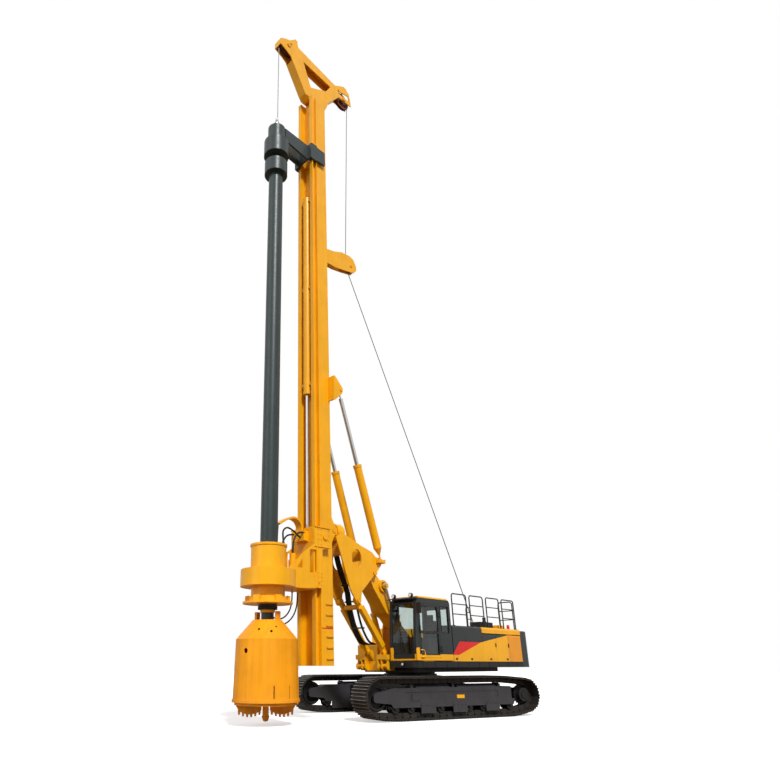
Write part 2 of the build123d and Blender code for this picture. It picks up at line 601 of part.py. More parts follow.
def cab_frame():
    """Cab shell of posts, roof, sills and back wall, with windows and doorway cut."""
    shell = side_plate(cab_outline(0), (CAB_INNER, CAB_OUTER))
    shell -= side_plate(cab_outline(CAB_WALL), (CAB_INNER + CAB_WALL, CAB_OUTER - CAB_WALL))
    for x, y, z in window_cuts().values():
        shell -= block(x, y, z)
    shell -= block((DOOR_REAR - DOOR_GAP, DOOR_FRONT + DOOR_GAP), (CAB_OUTER - CAB_WALL - 1, CAB_OUTER + 1),
                   (DOOR_BOTTOM - DOOR_GAP, DOOR_TOP + DOOR_GAP))
    for z in HINGE_Z:
        for low in (z - HINGE_HALF - 32, z + HINGE_HALF + 2):
            knuckle = bar_z(HINGE[0], HINGE[1], (low, low + 30), HINGE_R)
            knuckle += block((HINGE[0] - 70, HINGE[0]), (CAB_OUTER - 5, HINGE[1]), (low, low + 30))
            shell += knuckle
        shell += bar_z(HINGE[0], HINGE[1], (z - HINGE_HALF - 30, z + HINGE_HALF + 30), HINGE_PIN_R)
    return shell


def cab_door():
    """Door frame with an upper and a lower window and its two hinge leaves."""
    y = (CAB_OUTER - DOOR_THICK, CAB_OUTER)
    frame = block((DOOR_REAR, DOOR_FRONT), y, (DOOR_BOTTOM, DOOR_TOP))
    for x, z in door_windows():
        frame -= block(x, (y[0] - 1, y[1] + 1), z)
    for z in HINGE_Z:
        frame += bar_z(HINGE[0], HINGE[1], (z - HINGE_HALF, z + HINGE_HALF), HINGE_R)
        leaf_z = (z - HINGE_HALF, z + HINGE_HALF)
        frame += block((HINGE[0], DOOR_REAR + 60), (CAB_OUTER + 5, HINGE[1]), leaf_z)
        frame += block((DOOR_REAR + 5, DOOR_REAR + 60), (CAB_OUTER - 1, HINGE[1]), leaf_z)
        frame -= bar_z(HINGE[0], HINGE[1], (z - HINGE_HALF - 1, z + HINGE_HALF + 1), HINGE_PIN_R + FIT)
    handle_x = DOOR_FRONT - 45
    frame += block((handle_x - 15, handle_x + 15), (CAB_OUTER - 1, CAB_OUTER + 30), (2350, 2560))
    return frame


def door_windows():
    border, middle = 80.0, DOOR_BOTTOM + 720
    x = (DOOR_REAR + border, DOOR_FRONT - border)
    return ((x, (DOOR_BOTTOM + 100, middle - 35)), (x, (middle + 35, DOOR_TOP - border)))


def cab_panes():
    """Panes that fill the cab's window openings, each a thin plate in its wall."""
    cuts = window_cuts()
    panes = []
    for name in ("rear", "right", "quarter"):
        x, y, z = cuts[name]
        if name == "rear":
            panes.append(block((CAB_REAR + 20, CAB_REAR + 20 + GLASS), y, z))
        elif name == "right":
            panes.append(block(x, (CAB_INNER + 20, CAB_INNER + 20 + GLASS), z))
        else:
            panes.append(block(x, (CAB_OUTER - 20 - GLASS, CAB_OUTER - 20), z))
    slab = side_plate(cab_outline(20), (CAB_INNER + 1, CAB_OUTER - 1))
    slab -= side_plate(cab_outline(20 + GLASS), (CAB_INNER, CAB_OUTER))
    panes.append(slab & block(*cuts["screen"]))
    return panes


def cab():
    save("cab_frame", cab_frame())
    save("cab_door", cab_door())
    save("cab_glass", Compound(cab_panes()))
    y = (CAB_OUTER - 20 - GLASS, CAB_OUTER - 20)
    save("door_glass", Compound([block(x, y, z) for x, z in door_windows()]))
    roof = block((CAB_REAR + 70, CAB_FRONT - SCREEN_RAKE - 130), (CAB_INNER + 30, CAB_OUTER - 30),
                 (CAB_TOP, CAB_TOP + 60))
    save("cab_roof", fillet(roof.edges().group_by(Axis.Z)[-1], 45))
    floor, middle = CAB_BOTTOM + CAB_WALL, (CAB_INNER + CAB_OUTER) / 2
    seat = block((420, 900), (middle - 240, middle + 240), (floor + 330, floor + 460))
    seat += block((520, 800), (middle - 150, middle + 150), (floor, floor + 331))
    seat += block((330, 450), (middle - 230, middle + 230), (floor + 400, floor + 1120))
    consoles = block((480, 960), (middle - 370, middle - 270), (floor, floor + 600))
    consoles += block((480, 960), (middle + 270, middle + 370), (floor, floor + 600))
    save("seat", Compound([seat] + list(consoles.solids())))


# ------------------------------------------------------------------ on the deck
def lamps():
    """Visor over the windscreen with its two work lamps, a deck lamp and the beacon."""
    front = CAB_FRONT - SCREEN_RAKE
    y = (CAB_INNER + 20, CAB_OUTER - 20)
    visor = side_plate([(front - 100, CAB_TOP + 10), (front - 90, CAB_TOP + 32), (front + 190, CAB_TOP - 30),
                        (front + 185, CAB_TOP - 48)], y)
    for middle in (y[0] + 150, y[1] - 150):
        visor += bar_x(middle, CAB_TOP + 75, (front - 20, front + 70), 62)
        visor += block((front + 5, front + 35), (middle - 15, middle + 15), (CAB_TOP - 20, CAB_TOP + 40))
    # behind the roof panel, clear of the cab's own roof
    visor -= side_plate(cab_outline(-1), (y[0] - 1, y[1] + 1))
    lamp_y = (CAB_INNER + 450, CAB_INNER + 550)
    deck_lamp = block((CAB_FRONT, CAB_FRONT + 60), lamp_y, (FRAME_BOTTOM + 50, DECK_TOP - 40))
    x, y, z = -2650, DECK_HALF - 380, HOUSE_TOP + 190
    beacon = bar_z(x, y, (z, z + 40), 75) + bar_z(x, y, (z + 39, z + 170), 58)
    return Compound([visor, deck_lamp, beacon])


def handrails():
    """Four hoops of tube along the left house, each with two middle bars."""
    y = DECK_HALF - 90
    length, gap, first = 820.0, 200.0, -350.0
    hoops = []
    for i in range(4):
        x1 = first - i * (length + gap)
        x0 = x1 - length
        path = FilletPolyline((x1, y, HOUSE_TOP), (x1, y, HOUSE_TOP + RAIL_HEIGHT),
                              (x0, y, HOUSE_TOP + RAIL_HEIGHT), (x0, y, HOUSE_TOP), radius=90)
        hoop = sweep(Plane(origin=path @ 0, z_dir=path % 0) * Circle(RAIL_TUBE), path=path)
        for share in (0.36, 0.68):
            hoop += bar_x(y, HOUSE_TOP + RAIL_HEIGHT * share, (x0, x1), RAIL_TUBE * 0.8)
        hoops.append(hoop)
    return Compound(hoops)


def winch_drum():
    pin = (WINCH_X, WINCH_Z)
    drum = bar_y(pin, (-WINCH_HALF, WINCH_HALF), WINCH_R - 30)
    for low in (-WINCH_HALF - 30, WINCH_HALF):
        drum += bar_y(pin, (low, low + 30), WINCH_R + 40)
    return drum - bar_y(pin, (-WINCH_HALF - 31, WINCH_HALF + 31), WINCH_SHAFT_R + FIT)


def winch_stand():
    pin = (WINCH_X, WINCH_Z)
    cheek = [
        (WINCH_X - 330, DECK_TOP), (WINCH_X + 450, DECK_TOP), beside(pin, 190, 40), beside(pin, 90, 150),
        beside(pin, -90, 150), beside(pin, -190, 40),
    ]
    near = WINCH_HALF + 30 + RUN_GAP
    stand = both_sides(side_plate(cheek, (near, near + 45)))
    stand += block((WINCH_X + 360, WINCH_X + 450), (-near - 1, near + 1), (DECK_TOP, DECK_TOP + 160))
    return stand + bar_y(pin, (-near - 45, near + 45), WINCH_SHAFT_R)


# ------------------------------------------------------------------ boom linkage
def boom():
    """Deep box between its foot in the tower and its head in the triangle."""
    length = math.dist(BOOM_FOOT, BOOM_HEAD)
    foot = BOOM_FOOT_HALF
    deep = along_link(BOOM_FOOT, BOOM_HEAD, [
        (400, -150), (620, -215), (length - 430, -215), (length - 60, -140),
        (length - 60, 140), (length - 430, 215), (620, 225), (400, 160)])
    neck = along_link(BOOM_FOOT, BOOM_HEAD, [(0, -115), (450, -160), (450, 170), (0, 115)])
    body = side_plate(deep, (-BOOM_HALF, BOOM_HALF)) + side_plate(neck, (-foot, foot))
    body += bar_y(BOOM_FOOT, (-foot, foot), PIN_R + 60)
    body += bar_y(BOOM_HEAD, (-PLATE_IN + RUN_GAP, PLATE_IN - RUN_GAP), PIN_R + 85)
    tower_out = foot + RUN_GAP + TOWER_THICK
    body += bar_y(BOOM_FOOT, (-tower_out, tower_out), PIN_R)
    body += bar_y(BOOM_HEAD, (-PLATE_OUT - 25, PLATE_OUT + 25), PIN_R)
    # cross shaft that the luffing cylinders hang on
    near, far = LUFF_Y - LUFF_EYE_HALF - RUN_GAP, LUFF_Y + LUFF_EYE_HALF + 15
    body += bar_y(LUFF_EYE, (-near, near), LUFF_RING_R)
    body -= both_sides(bar_y(LUFF_EYE, (near - 45, near + 1), LUFF_RING_R - 60))
    return body + bar_y(LUFF_EYE, (-far, far), LUFF_STUB_R)


def support_rods():
    """Two rods side by side, tied together near their heads."""
    length = math.dist(ROD_FOOT, ROD_HEAD)
    half, eye = ROD_DEPTH / 2, (ROD_IN, ROD_IN + ROD_EYE)
    slim = along_link(ROD_FOOT, ROD_HEAD, [(0, -half), (length, -half), (length, half), (0, half)])
    wide = along_link(ROD_FOOT, ROD_HEAD, [
        (270, -half), (length - 250, -half), (length - 250, half), (270, half)])
    rod = side_plate(slim, eye) + side_plate(wide, (ROD_IN, ROD_IN + ROD_WIDTH))
    for pin in (ROD_FOOT, ROD_HEAD):
        rod += bar_y(pin, eye, PIN_R + BOSS)
    rod += bar_y(ROD_FOOT, (ROD_IN - RUN_GAP - 45, ROD_IN + ROD_EYE + RUN_GAP + 45), PIN_R)
    rod += bar_y(ROD_HEAD, (ROD_IN, PLATE_OUT + 25), PIN_R)
    tie = along_link(ROD_FOOT, ROD_HEAD, [(length * 0.88, 0)])[0]
    return both_sides(rod) + bar_y(tie, (-ROD_IN - 1, ROD_IN + 1), 75)


def triangle():
    """Two side plates with cross boxes, and the round face that the mast's seat turns on."""
    top_z = RAKE_PIN[1] - 100
    rear = MAST_CYL_FOOT
    outline = [
        (3790, top_z - 110), (3560, top_z), (3360, top_z), (3040, 5115), (2700, 4990), (2380, 4905),
        (2150, 4830), beside(rear, 160, 130), beside(rear, -60, 110), beside(rear, -120, 40),
        beside(rear, -110, -80), beside(rear, 60, -280), (2700, 3560), beside(ROD_HEAD, -120, 0),
        beside(ROD_HEAD, -60, -110), beside(ROD_HEAD, 60, -110), beside(ROD_HEAD, 120, 0), (3190, 3580),
    ]
    plate = side_plate(outline, (PLATE_IN, PLATE_OUT))
    hole = Plane.XZ.offset(-PLATE_IN + 1) * Pos(2880, 4560) * Ellipse(225, 285)
    plate -= extrude(hole, amount=-PLATE_THICK - 2)
    for pin in (BOOM_HEAD, ROD_HEAD):
        plate -= bar_y(pin, (PLATE_IN - 1, PLATE_OUT + 1), PIN_R + FIT)
    # lugs in front of and behind the gimbal of the mast cylinder
    wide = MAST_CYL_Y + 60
    for x in (rear[0] - GIMBAL_HALF - RUN_GAP - 45, rear[0] + GIMBAL_HALF + RUN_GAP):
        lug = block((x, x + 45), (PLATE_OUT - 1, wide), (rear[1] - 60, rear[1] + 60))
        plate += lug - bar_x(MAST_CYL_Y, rear[1], (x - 1, x + 46), GIMBAL_PIN_R + FIT)
    body = both_sides(plate)
    face = SEAT_BACK - 3.0
    body += block((3230, 3430), (-PLATE_IN - 1, PLATE_IN + 1), (4650, top_z - 40))
    body += block((2420, 2580), (-PLATE_IN - 1, PLATE_IN + 1), (4560, 4840))
    body += bar_x(0, RAKE_PIN[1], (3230, face), TURN_R)
    return body - bar_x(0, RAKE_PIN[1], (3229, face + 1), TURN_PIN_R + FIT)


def cross_seat():
    """Turns on the triangle about X and carries the mast about Y."""
    z = RAKE_PIN[1]
    seat = bar_x(0, z, (SEAT_BACK, SEAT_BACK + 55), TURN_R)
    seat += bar_x(0, z, (3230, SEAT_BACK + 10), TURN_PIN_R)
    seat += block((SEAT_BACK + 50, RAKE_PIN[0]), (-230, 230), (z - 110, z + 110))
    seat += bar_y(RAKE_PIN, (-EAR_IN + RUN_GAP, EAR_IN - RUN_GAP), PIN_R + BOSS)
    return seat + bar_y(RAKE_PIN, (-EAR_IN - EAR_THICK - 10, EAR_IN + EAR_THICK + 10), PIN_R)


def cylinder(foot, eye, y, radii, necks, barrel_length, eye_half, bores):
    """Barrel and rod between two pins at y.

    radii, necks and bores are pairs for barrel and rod: the outer radius, the slim
    stretch beside the eye, and the radius of the hole in the eye.
    """
    barrel_r, rod_r = radii
    neck, rod_neck = necks
    a = Vector(foot[0], y, foot[1])
    b = Vector(eye[0], y, eye[1])
    direction = (b - a).normalized()
    length = (b - a).length

    def at(distance):
        return tuple(a + direction * distance)

    barrel = strut(at(neck), at(barrel_length), barrel_r)
    barrel += strut(at(barrel_length - 70), at(barrel_length + 15), barrel_r + 14)
    barrel -= strut(at(neck + 60), at(barrel_length - 80), barrel_r - 22)
    barrel -= strut(at(barrel_length - 100), at(barrel_length + 20), rod_r + 0.5)
    barrel += strut(at(0), at(neck + 20), eye_half - 3)
    if neck > CONE_START:
        barrel += taper(at(CONE_START), at(neck + 1), eye_half - 3, barrel_r)
    barrel += bar_y(foot, (y - eye_half, y + eye_half), bores[0] + BOSS)
    barrel -= bar_y(foot, (y - eye_half - 1, y + eye_half + 1), bores[0])
    rod = strut(at(barrel_length - 600), at(length - rod_neck), rod_r)
    rod += strut(at(length - rod_neck - 20), at(length - bores[1] - 15), min(rod_r, eye_half - 3))
    rod += bar_y(eye, (y - eye_half, y + eye_half), bores[1] + BOSS * 0.7)
    rod -= bar_y(eye, (y - eye_half - 1, y + eye_half + 1), bores[1])
    return barrel, rod


def gimbal(y):
    """Small frame that holds a mast cylinder's foot: pin across it, trunnions along X."""
    x, z = MAST_CYL_FOOT
    inner = EYE_HALF + 4
    outer = inner + GIMBAL_CHEEK
    frame = block((x - GIMBAL_HALF, x + GIMBAL_HALF), (y - outer, y + outer), (z - 48, z + 48))
    frame -= block((x - GIMBAL_HALF + 28, x + GIMBAL_HALF - 28), (y - inner, y + inner), (z - 49, z + 49))
    reach = GIMBAL_HALF + RUN_GAP + 45
    for low, high in ((-reach, -GIMBAL_HALF + 1), (GIMBAL_HALF - 1, reach)):
        frame += bar_x(y, z, (x + low, x + high), GIMBAL_PIN_R)
    return frame + bar_y((x, z), (y - outer, y + outer), GIMBAL_PIN_R)


def cylinders():
    barrels, rods = [], []
    for sign in (1, -1):
        y = sign * LUFF_Y
        barrel, rod = cylinder(LUFF_FOOT, LUFF_EYE, y, (LUFF_R, LUFF_ROD_R), (175, 120), LUFF_LENGTH,
                               LUFF_EYE_HALF, (PIN_R - 1, LUFF_STUB_R + LUFF_SLACK))
        reach = LUFF_EYE_HALF + RUN_GAP + 38
        barrels.append(barrel + bar_y(LUFF_FOOT, (y - reach, y + reach), PIN_R))
        rods.append(rod)
    save("luff_barrels", Compound(barrels))
    save("luff_rods", Compound(rods))
    for side, sign in (("left", 1), ("right", -1)):
        y = sign * MAST_CYL_Y
        barrel, rod = cylinder(MAST_CYL_FOOT, MAST_CYL_EYE, y, (MAST_CYL_R, MAST_ROD_R),
                               (MAST_CYL_NECK, MAST_ROD_NECK), MAST_CYL_LENGTH, EYE_HALF,
                               (GIMBAL_PIN_R + FIT, 45.0))
        save(f"mast_barrel_{side}", barrel)
        save(f"mast_rod_{side}", rod)
        save(f"gimbal_{side}", gimbal(y))


# ------------------------------------------------------------------ mast
def mast():
    """Box of plate, open below, with two grooved rails up its front."""
    body = block((MAST_BACK, MAST_FACE), (-MAST_HALF, MAST_HALF), (MAST_BOTTOM, MAST_TOP))
    body -= block((MAST_BACK + MAST_WALL, MAST_FACE - MAST_WALL),
                  (-MAST_HALF + MAST_WALL, MAST_HALF - MAST_WALL), (MAST_BOTTOM - 1, MAST_TOP - 40))
    rail = block((MAST_FACE - 5, RAIL_FRONT), (RAIL_IN, RAIL_OUT), (MAST_BOTTOM, MAST_TOP))
    rail -= block((MAST_FACE + 15, RAIL_FRONT - RAIL_LIP), (RAIL_IN + RAIL_WEB, RAIL_OUT + 1),
                  (MAST_BOTTOM - 1, MAST_TOP + 1))
    ear = [
        (MAST_BACK + 5, RAKE_PIN[1] + 420), beside(RAKE_PIN, -60, 110), beside(RAKE_PIN, -110, 40),
        beside(RAKE_PIN, -110, -40), beside(RAKE_PIN, -60, -110), (MAST_BACK + 5, RAKE_PIN[1] - 420),
    ]
    ears = side_plate(ear, (EAR_IN, EAR_IN + EAR_THICK))
    ears -= bar_y(RAKE_PIN, (EAR_IN - 1, EAR_IN + EAR_THICK + 1), PIN_R + FIT)
    x, z = MAST_CYL_EYE
    lug = [
        (MAST_BACK + 60, z - 420), (MAST_BACK + 60, z + 430), (MAST_BACK - 20, z + 430),
        (x - 60, z + 130), (x - 100, z + 60), (x - 100, z - 60), (x - 60, z - 130), (MAST_BACK - 20, z - 420),
    ]
    near = MAST_CYL_Y - EYE_HALF - LUG_ROOM
    far = MAST_CYL_Y + EYE_HALF + LUG_ROOM
    bracket = side_plate(lug, (near - 40, near)) + side_plate(lug, (far, far + 40))
    bracket += block((MAST_BACK + 5, MAST_BACK + 60), (MAST_HALF - 5, far + 40), (z - 420, z + 430))
    # the eye is open between the lugs; its pin ends in a cap on each lug
    bracket += bar_y((x, z), (far + 39, far + 60), 55) + bar_y((x, z), (near - 60, near - 39), 55)
    return body + both_sides(rail + ears + bracket)


def mast_head():
    """Triangular head: two side plates joined by edge plates, open towards its middle."""
    nose_pin, tail = HEAD_PIN, TAIL_PIN
    outer = [
        (MAST_BACK + 130, MAST_TOP), (RAIL_FRONT - 20, MAST_TOP), (4790, 22880), (5560, 24260),
        beside(nose_pin, 60, -400), beside(nose_pin, 420, -250), beside(nose_pin, 420, 30),
        beside(nose_pin, 150, 230), beside(nose_pin, -60, 320), (5330, 25420), (5230, 25400), (5171, 25089),
        (3048, 24720), (2508, 25080), (2330, 25060), (2300, 24960), (2180, 24900), (2080, 24440),
        (2080, 24240), (2820, 24220), (2960, 24040), (3507, 23347), (3560, 23080),
        (MAST_BACK - 20, 22465), (MAST_BACK - 1, 22465), (MAST_BACK - 1, 22960), (MAST_BACK + 130, 22960),
    ]
    hole = [(4890, 24540), (4480, 23430), (3600, 23930), (3330, 24400)]
    inner = [
        (4000, MAST_TOP + 200), (4620, MAST_TOP + 200), (5420, 24300), (5250, 25030), (3080, 24620),
        (2960, 24420), (3040, 24140), (3560, 23470), (MAST_BACK + 60, 23200),
    ]
    head = side_plate(outer, (-HEAD_HALF, HEAD_HALF))
    head -= side_plate(hole, (-HEAD_HALF - 1, HEAD_HALF + 1))
    slot = HEAD_HALF - HEAD_PLATE
    head -= side_plate(inner, (-slot, slot))
    # the sheaves stand in slots; bars in front and behind keep the rope in
    front_slot = [(5330, 24200), (6060, 23900), (6092, 24400), (6092, 24900), (6300, 25700), (5180, 25700),
                  (5230, 24900)]
    rear_slot = [(2945, 23700), (2945, 24780), (2400, 25300), (1900, 25300), (1900, 23700)]
    head -= side_plate(front_slot, (-slot, slot)) + side_plate(rear_slot, (-slot, slot))
    head += bar_y((2400, 24930), (-HEAD_HALF, HEAD_HALF), 40)
    # gap above the tongue that carries the rear sheave's pin
    tail_gap = [(2880, 24430), (2860, 24560), (2230, 24720), (2190, 24440)]
    head -= side_plate(tail_gap, (-HEAD_HALF - 1, HEAD_HALF + 1))
    head -= block((4060, 4500), (-slot, slot), (MAST_TOP - 1, MAST_TOP + 210))
    for pin in (nose_pin, tail):
        head += bar_y(pin, (-HEAD_HALF - 15, HEAD_HALF + 15), SHEAVE_PIN)
    # hinge pin of the arm, and the bolts' bosses
    for pin, r in (((4640, 22870), 62), ((5560, 24960), 38), ((2830, 24640), 38)):
        head += both_sides(bar_y(pin, (HEAD_HALF - 1, HEAD_HALF + 32), r))
    return head


def sheave(pin, r, half, bore):
    """Grooved rope wheel with a lightened web."""
    groove = half * 0.55
    wheel = bar_y(pin, (-half, half), r)
    wheel -= bar_y(pin, (-groove, groove), r + 1) - bar_y(pin, (-groove, groove), r - 45)
    for low in (-half - 1, 18):
        wheel -= bar_y(pin, (low, low + half - 17), r - 90) - bar_y(pin, (low, low + half - 17), bore + 50)
    return wheel - bar_y(pin, (-half - 1, half + 1), bore + FIT)


def pulley_arm():
    """Two cheeks with a rounded end that hold the rope's guide pulley behind the mast."""
    x, z = PULLEY_PIN
    foot = MAST_BACK
    outline = [
        (foot, 15960), (3250, 16080), (2816, 16260), (x + 60, 16300), (x - 150, 16240), (x - 300, z + 130),
        (x - 310, z - 60), (x - 160, z - 240), (x + 60, z - 290), (x + 350, 15500), (3200, 15400),
        (foot, 15380),
    ]
    cheek = side_plate(outline, (72, 100))
    arm = both_sides(cheek)
    arm += block((x + 620, foot), (-73, 73), (15450, 15520))
    arm += block((foot - 60, foot), (-190, 190), (15380, 15960))
    return arm + bar_y(PULLEY_PIN, (-110, 110), PULLEY_PIN_R)


def crowd_barrel():
    """Hollow cylinder barrel, held by collars in the channel between the rails."""
    barrel = bar_z(CROWD_X, 0, (CROWD_BOTTOM, CROWD_TOP), CROWD_R)
    barrel += bar_z(CROWD_X, 0, (CROWD_BOTTOM, CROWD_BOTTOM + 90), CROWD_R + 8)
    barrel -= bar_z(CROWD_X, 0, (CROWD_BOTTOM + 80, CROWD_TOP - 80), CROWD_R - 24)
    barrel -= bar_z(CROWD_X, 0, (CROWD_BOTTOM - 1, CROWD_BOTTOM + 90), CROWD_ROD_R + 0.5)
    for z in (CROWD_BOTTOM + 300, (CROWD_BOTTOM + CROWD_TOP) / 2, CROWD_TOP - 200):
        collar = block((MAST_FACE, CROWD_X + 60), (-185, 185), (z, z + 120))
        barrel += collar - bar_z(CROWD_X, 0, (z - 1, z + 121), CROWD_R - 10)
    return barrel


# ------------------------------------------------------------------ carriage and drive

def claw(z):
    """Slide shoe round one rail: side plate, front pad and the lip in the rail's groove."""
    shoe = block((MAST_FACE + 45, PAD_FRONT), (SHOE_IN, SHOE_IN + SHOE_THICK), z)
    shoe += block((RAIL_FRONT + RUN_GAP, PAD_FRONT), (RAIL_IN + 40, SHOE_IN + SHOE_THICK), z)
    lip_x = (MAST_FACE + 45, RAIL_FRONT - RAIL_LIP - RUN_GAP)
    return shoe + block(lip_x, (RAIL_IN + RAIL_WEB + 35, SHOE_IN + 5), z)


def carriage():
    """Sled on the mast's rails: a box round the mast above, gussets for the drive below."""
    low, top = CARRIAGE_BOTTOM, CARRIAGE_TOP
    half = SHOE_IN + SHOE_THICK
    out = half + GUSSET
    side = claw((low + 100, low + 520)) + claw((top - 560, top - 140))
    front = KELLY_X - 320.0
    gusset = [
        (MAST_FACE + 45, low + 60), (MOUNT_X, low), (MOUNT_X, CASE_STEP), (front, CASE_STEP),
        (front, CASE_STEP + 40), (PAD_FRONT + 330, CARRIAGE_HEAD - 110), (PAD_FRONT + 60, CARRIAGE_HEAD + 60),
        (PAD_FRONT + 60, top), (MAST_FACE - 275, top), (MAST_FACE - 275, CARRIAGE_HEAD),
        (MAST_FACE + 45, CARRIAGE_HEAD - 60),
    ]
    plate = side_plate(gusset, (half - 1, out))
    plate -= side_plate([(MOUNT_X, 4030), (front - 300, 4030), (MOUNT_X, 4290)], (0, 900))
    plate -= block((PAD_FRONT - 20, PAD_FRONT + 250), (0, 900), (CASE_STEP, CARRIAGE_HEAD - 100))
    # flanges round the head box, a stiffener behind the opening and two round bosses
    for z in (CARRIAGE_HEAD, top - 30):
        plate += block((MAST_FACE - 275, PAD_FRONT + 60), (out - 1, out + 28), (z, z + 30))
    plate += block((PAD_FRONT - 60, PAD_FRONT - 20), (out - 1, out + 22), (low + 60, CARRIAGE_HEAD))
    plate += bar_y((MAST_FACE - 60, CARRIAGE_HEAD + 330), (out - 1, out + 45), 95)
    plate += bar_y((PAD_FRONT - 110, low + 250), (out - 1, out + 20), 60)
    body = both_sides(side + plate)
    body += block((PAD_FRONT - 1, PAD_FRONT + 60), (-half, half), (low, top))
    body += block((PAD_FRONT, MOUNT_X), (-half, half), (low, low + 50))
    body += block((MOUNT_X - 50, MOUNT_X), (-half, half), (low, CASE_STEP))
    body += block((PAD_FRONT + 59, PAD_FRONT + 240), (-230, 230), (top - 420, top - 120))
    for gland in glands(0):
        body += gland
    # eye of the crowd rod
    eye = (top - 200, top - 50)
    return body + block((CROWD_X - 60, PAD_FRONT), (-80, 80), eye)


def rotary_drive():
    """Gear case round the kelly: a wide low case and a round upper case with a rim."""
    half = SHOE_IN + SHOE_THICK + GUSSET
    low = bar_z(KELLY_X, 0, (CASE_BOTTOM, CASE_STEP), CASE_R)
    low += block((MOUNT_X, KELLY_X), (-half, half), (CARRIAGE_BOTTOM, CASE_STEP))
    up = bar_z(KELLY_X, 0, (CASE_STEP - 1, CASE_TOP), CASE_UPPER_R)
    up += bar_z(KELLY_X, 0, (CASE_TOP - 60, CASE_TOP), CASE_UPPER_R + 25)
    up += bar_z(KELLY_X, 0, (CASE_STEP - 1, CASE_STEP + 40), CASE_UPPER_R + 40)
    body = low + up
    for gland in glands(1):
        body += gland
    body -= bar_z(KELLY_X, 0, (CASE_BOTTOM - 1, CASE_TOP + 1), KELLY_R + 60)
    room = (CASE_BOTTOM - 1, CASE_BOTTOM + SLEEVE_IN + RUN_GAP)
    return body - bar_z(KELLY_X, 0, room, SLEEVE_R + RUN_GAP)


def drive_output():
    """Turning sleeve with the casing flange, its bolt holes and its blocks below the gear case."""
    plate_top = FLANGE_BOTTOM + FLANGE_THICK
    sleeve = bar_z(KELLY_X, 0, (plate_top - 1, CASE_BOTTOM + SLEEVE_IN), SLEEVE_R)
    sleeve += bar_z(KELLY_X, 0, (plate_top - 1, plate_top + 130), SLEEVE_R + 70)
    sleeve += bar_z(KELLY_X, 0, (FLANGE_BOTTOM, plate_top), FLANGE_R)
    turned = Pos(KELLY_X, 0, 0)
    for i in range(FLANGE_HOLES):
        angle = 360 * i / FLANGE_HOLES + 5
        sleeve -= turned * Rot(0, 0, angle) * bar_z(FLANGE_PITCH_R, 0, (FLANGE_BOTTOM - 1, plate_top + 1),
                                                    FLANGE_HOLE_R)
    for i in range(6):
        lug = block((SLEEVE_R, FLANGE_PITCH_R - 12), (-95, 95), (plate_top - 1, plate_top + 150))
        sleeve += turned * Rot(0, 0, 60 * i + 20) * lug
    return sleeve - bar_z(KELLY_X, 0, (FLANGE_BOTTOM - 1, CASE_BOTTOM + SLEEVE_IN + 1), KELLY_R + 12)


def drive_motors():
    """Two hydraulic motors standing on the back of the gear case."""
    made = []
    for sign in (1, -1):
        x, y = MOUNT_X + 140, sign * 250
        motor = bar_z(x, y, (CASE_STEP, CASE_STEP + 330), 125)
        motor += bar_z(x, y, (CASE_STEP + 329, CASE_STEP + 520), 95)
        made.append(motor)
    return Compound(made)


def glands(which):
    """Hose glands at one end of the loops: 0 on the carriage, 1 on the gear case."""
    made = []
    for hose in DRIVE_HOSES:
        x, y = hose[which]
        made.append(bar_z(x, y, (CARRIAGE_BOTTOM - GLAND_LENGTH, CARRIAGE_BOTTOM + 1), GLAND_R))
    return made


def drive_hose(a, b, lowest):
    """A hanging loop from gland to gland; rows are (share of the way across, share of the drop)."""
    top = CARRIAGE_BOTTOM - GLAND_LENGTH
    rows = ((0.0, 0.0), (0.0, 0.34), (0.10, 0.70), (0.32, 0.95), (0.62, 1.0), (0.88, 0.74),
            (1.0, 0.34), (1.0, 0.0))
    points = []
    for across, drop in rows:
        x, y = a[0] + across * (b[0] - a[0]), a[1] + across * (b[1] - a[1])
        points.append(Vector(x, y, top + drop * (lowest - top)))
    runs = [points[i + 1] - points[i] for i in range(len(points) - 1)]
    radii = []
    for before, after in zip(runs, runs[1:]):
        half_turn = math.radians(before.get_angle(after)) / 2
        radii.append(0.45 * min(before.length, after.length) / math.tan(half_turn))
    print("hose radii", [round(r) for r in radii])
    path = FilletPolyline(*points, radius=radii)
    tube = sweep(Plane(origin=path @ 0, z_dir=path % 0) * Circle(HOSE_R), path=path)
    print("hose length", round(path.length), "volume ratio", tube.volume / (path.length * math.pi * HOSE_R ** 2))
    return tube


def crowd_rod():
    return bar_z(CROWD_X, 0, (CARRIAGE_TOP - 50, CROWD_BOTTOM + 300), CROWD_ROD_R)


# ------------------------------------------------------------------ kelly and bucket
def kelly_guide():
    """Sled below the mast's top that keeps the kelly's head in line."""
    z = (GUIDE_BOTTOM, GUIDE_TOP)
    half = SHOE_IN + SHOE_THICK
    side = claw(z)
    side += block((MAST_FACE - 380, MAST_FACE + 60), (SHOE_IN, half), (z[0] + 40, z[1] - 60))
    arm = [
        (PAD_FRONT - 5, z[0] + 30), (KELLY_X - 330, z[0] + 170), (KELLY_X - 200, z[0] + 200),
        (KELLY_X - 200, z[1]), (PAD_FRONT - 5, z[1] - 40),
    ]
    side += side_plate(arm, (205, 275))
    body = both_sides(side)
    body += block((PAD_FRONT - 1, PAD_FRONT + 45), (-half, half), (z[0] + 20, z[1] - 30))
    body += bar_z(KELLY_X, 0, (z[0] - 50, z[1]), HOUSING_R - 130)
    body += bar_z(KELLY_X, 0, (HOUSING_BOTTOM, z[0] + 60), HOUSING_R)
    return body - bar_z(KELLY_X, 0, (HOUSING_BOTTOM - 1, z[1] + 1), GUIDE_SHAFT_R + FIT)


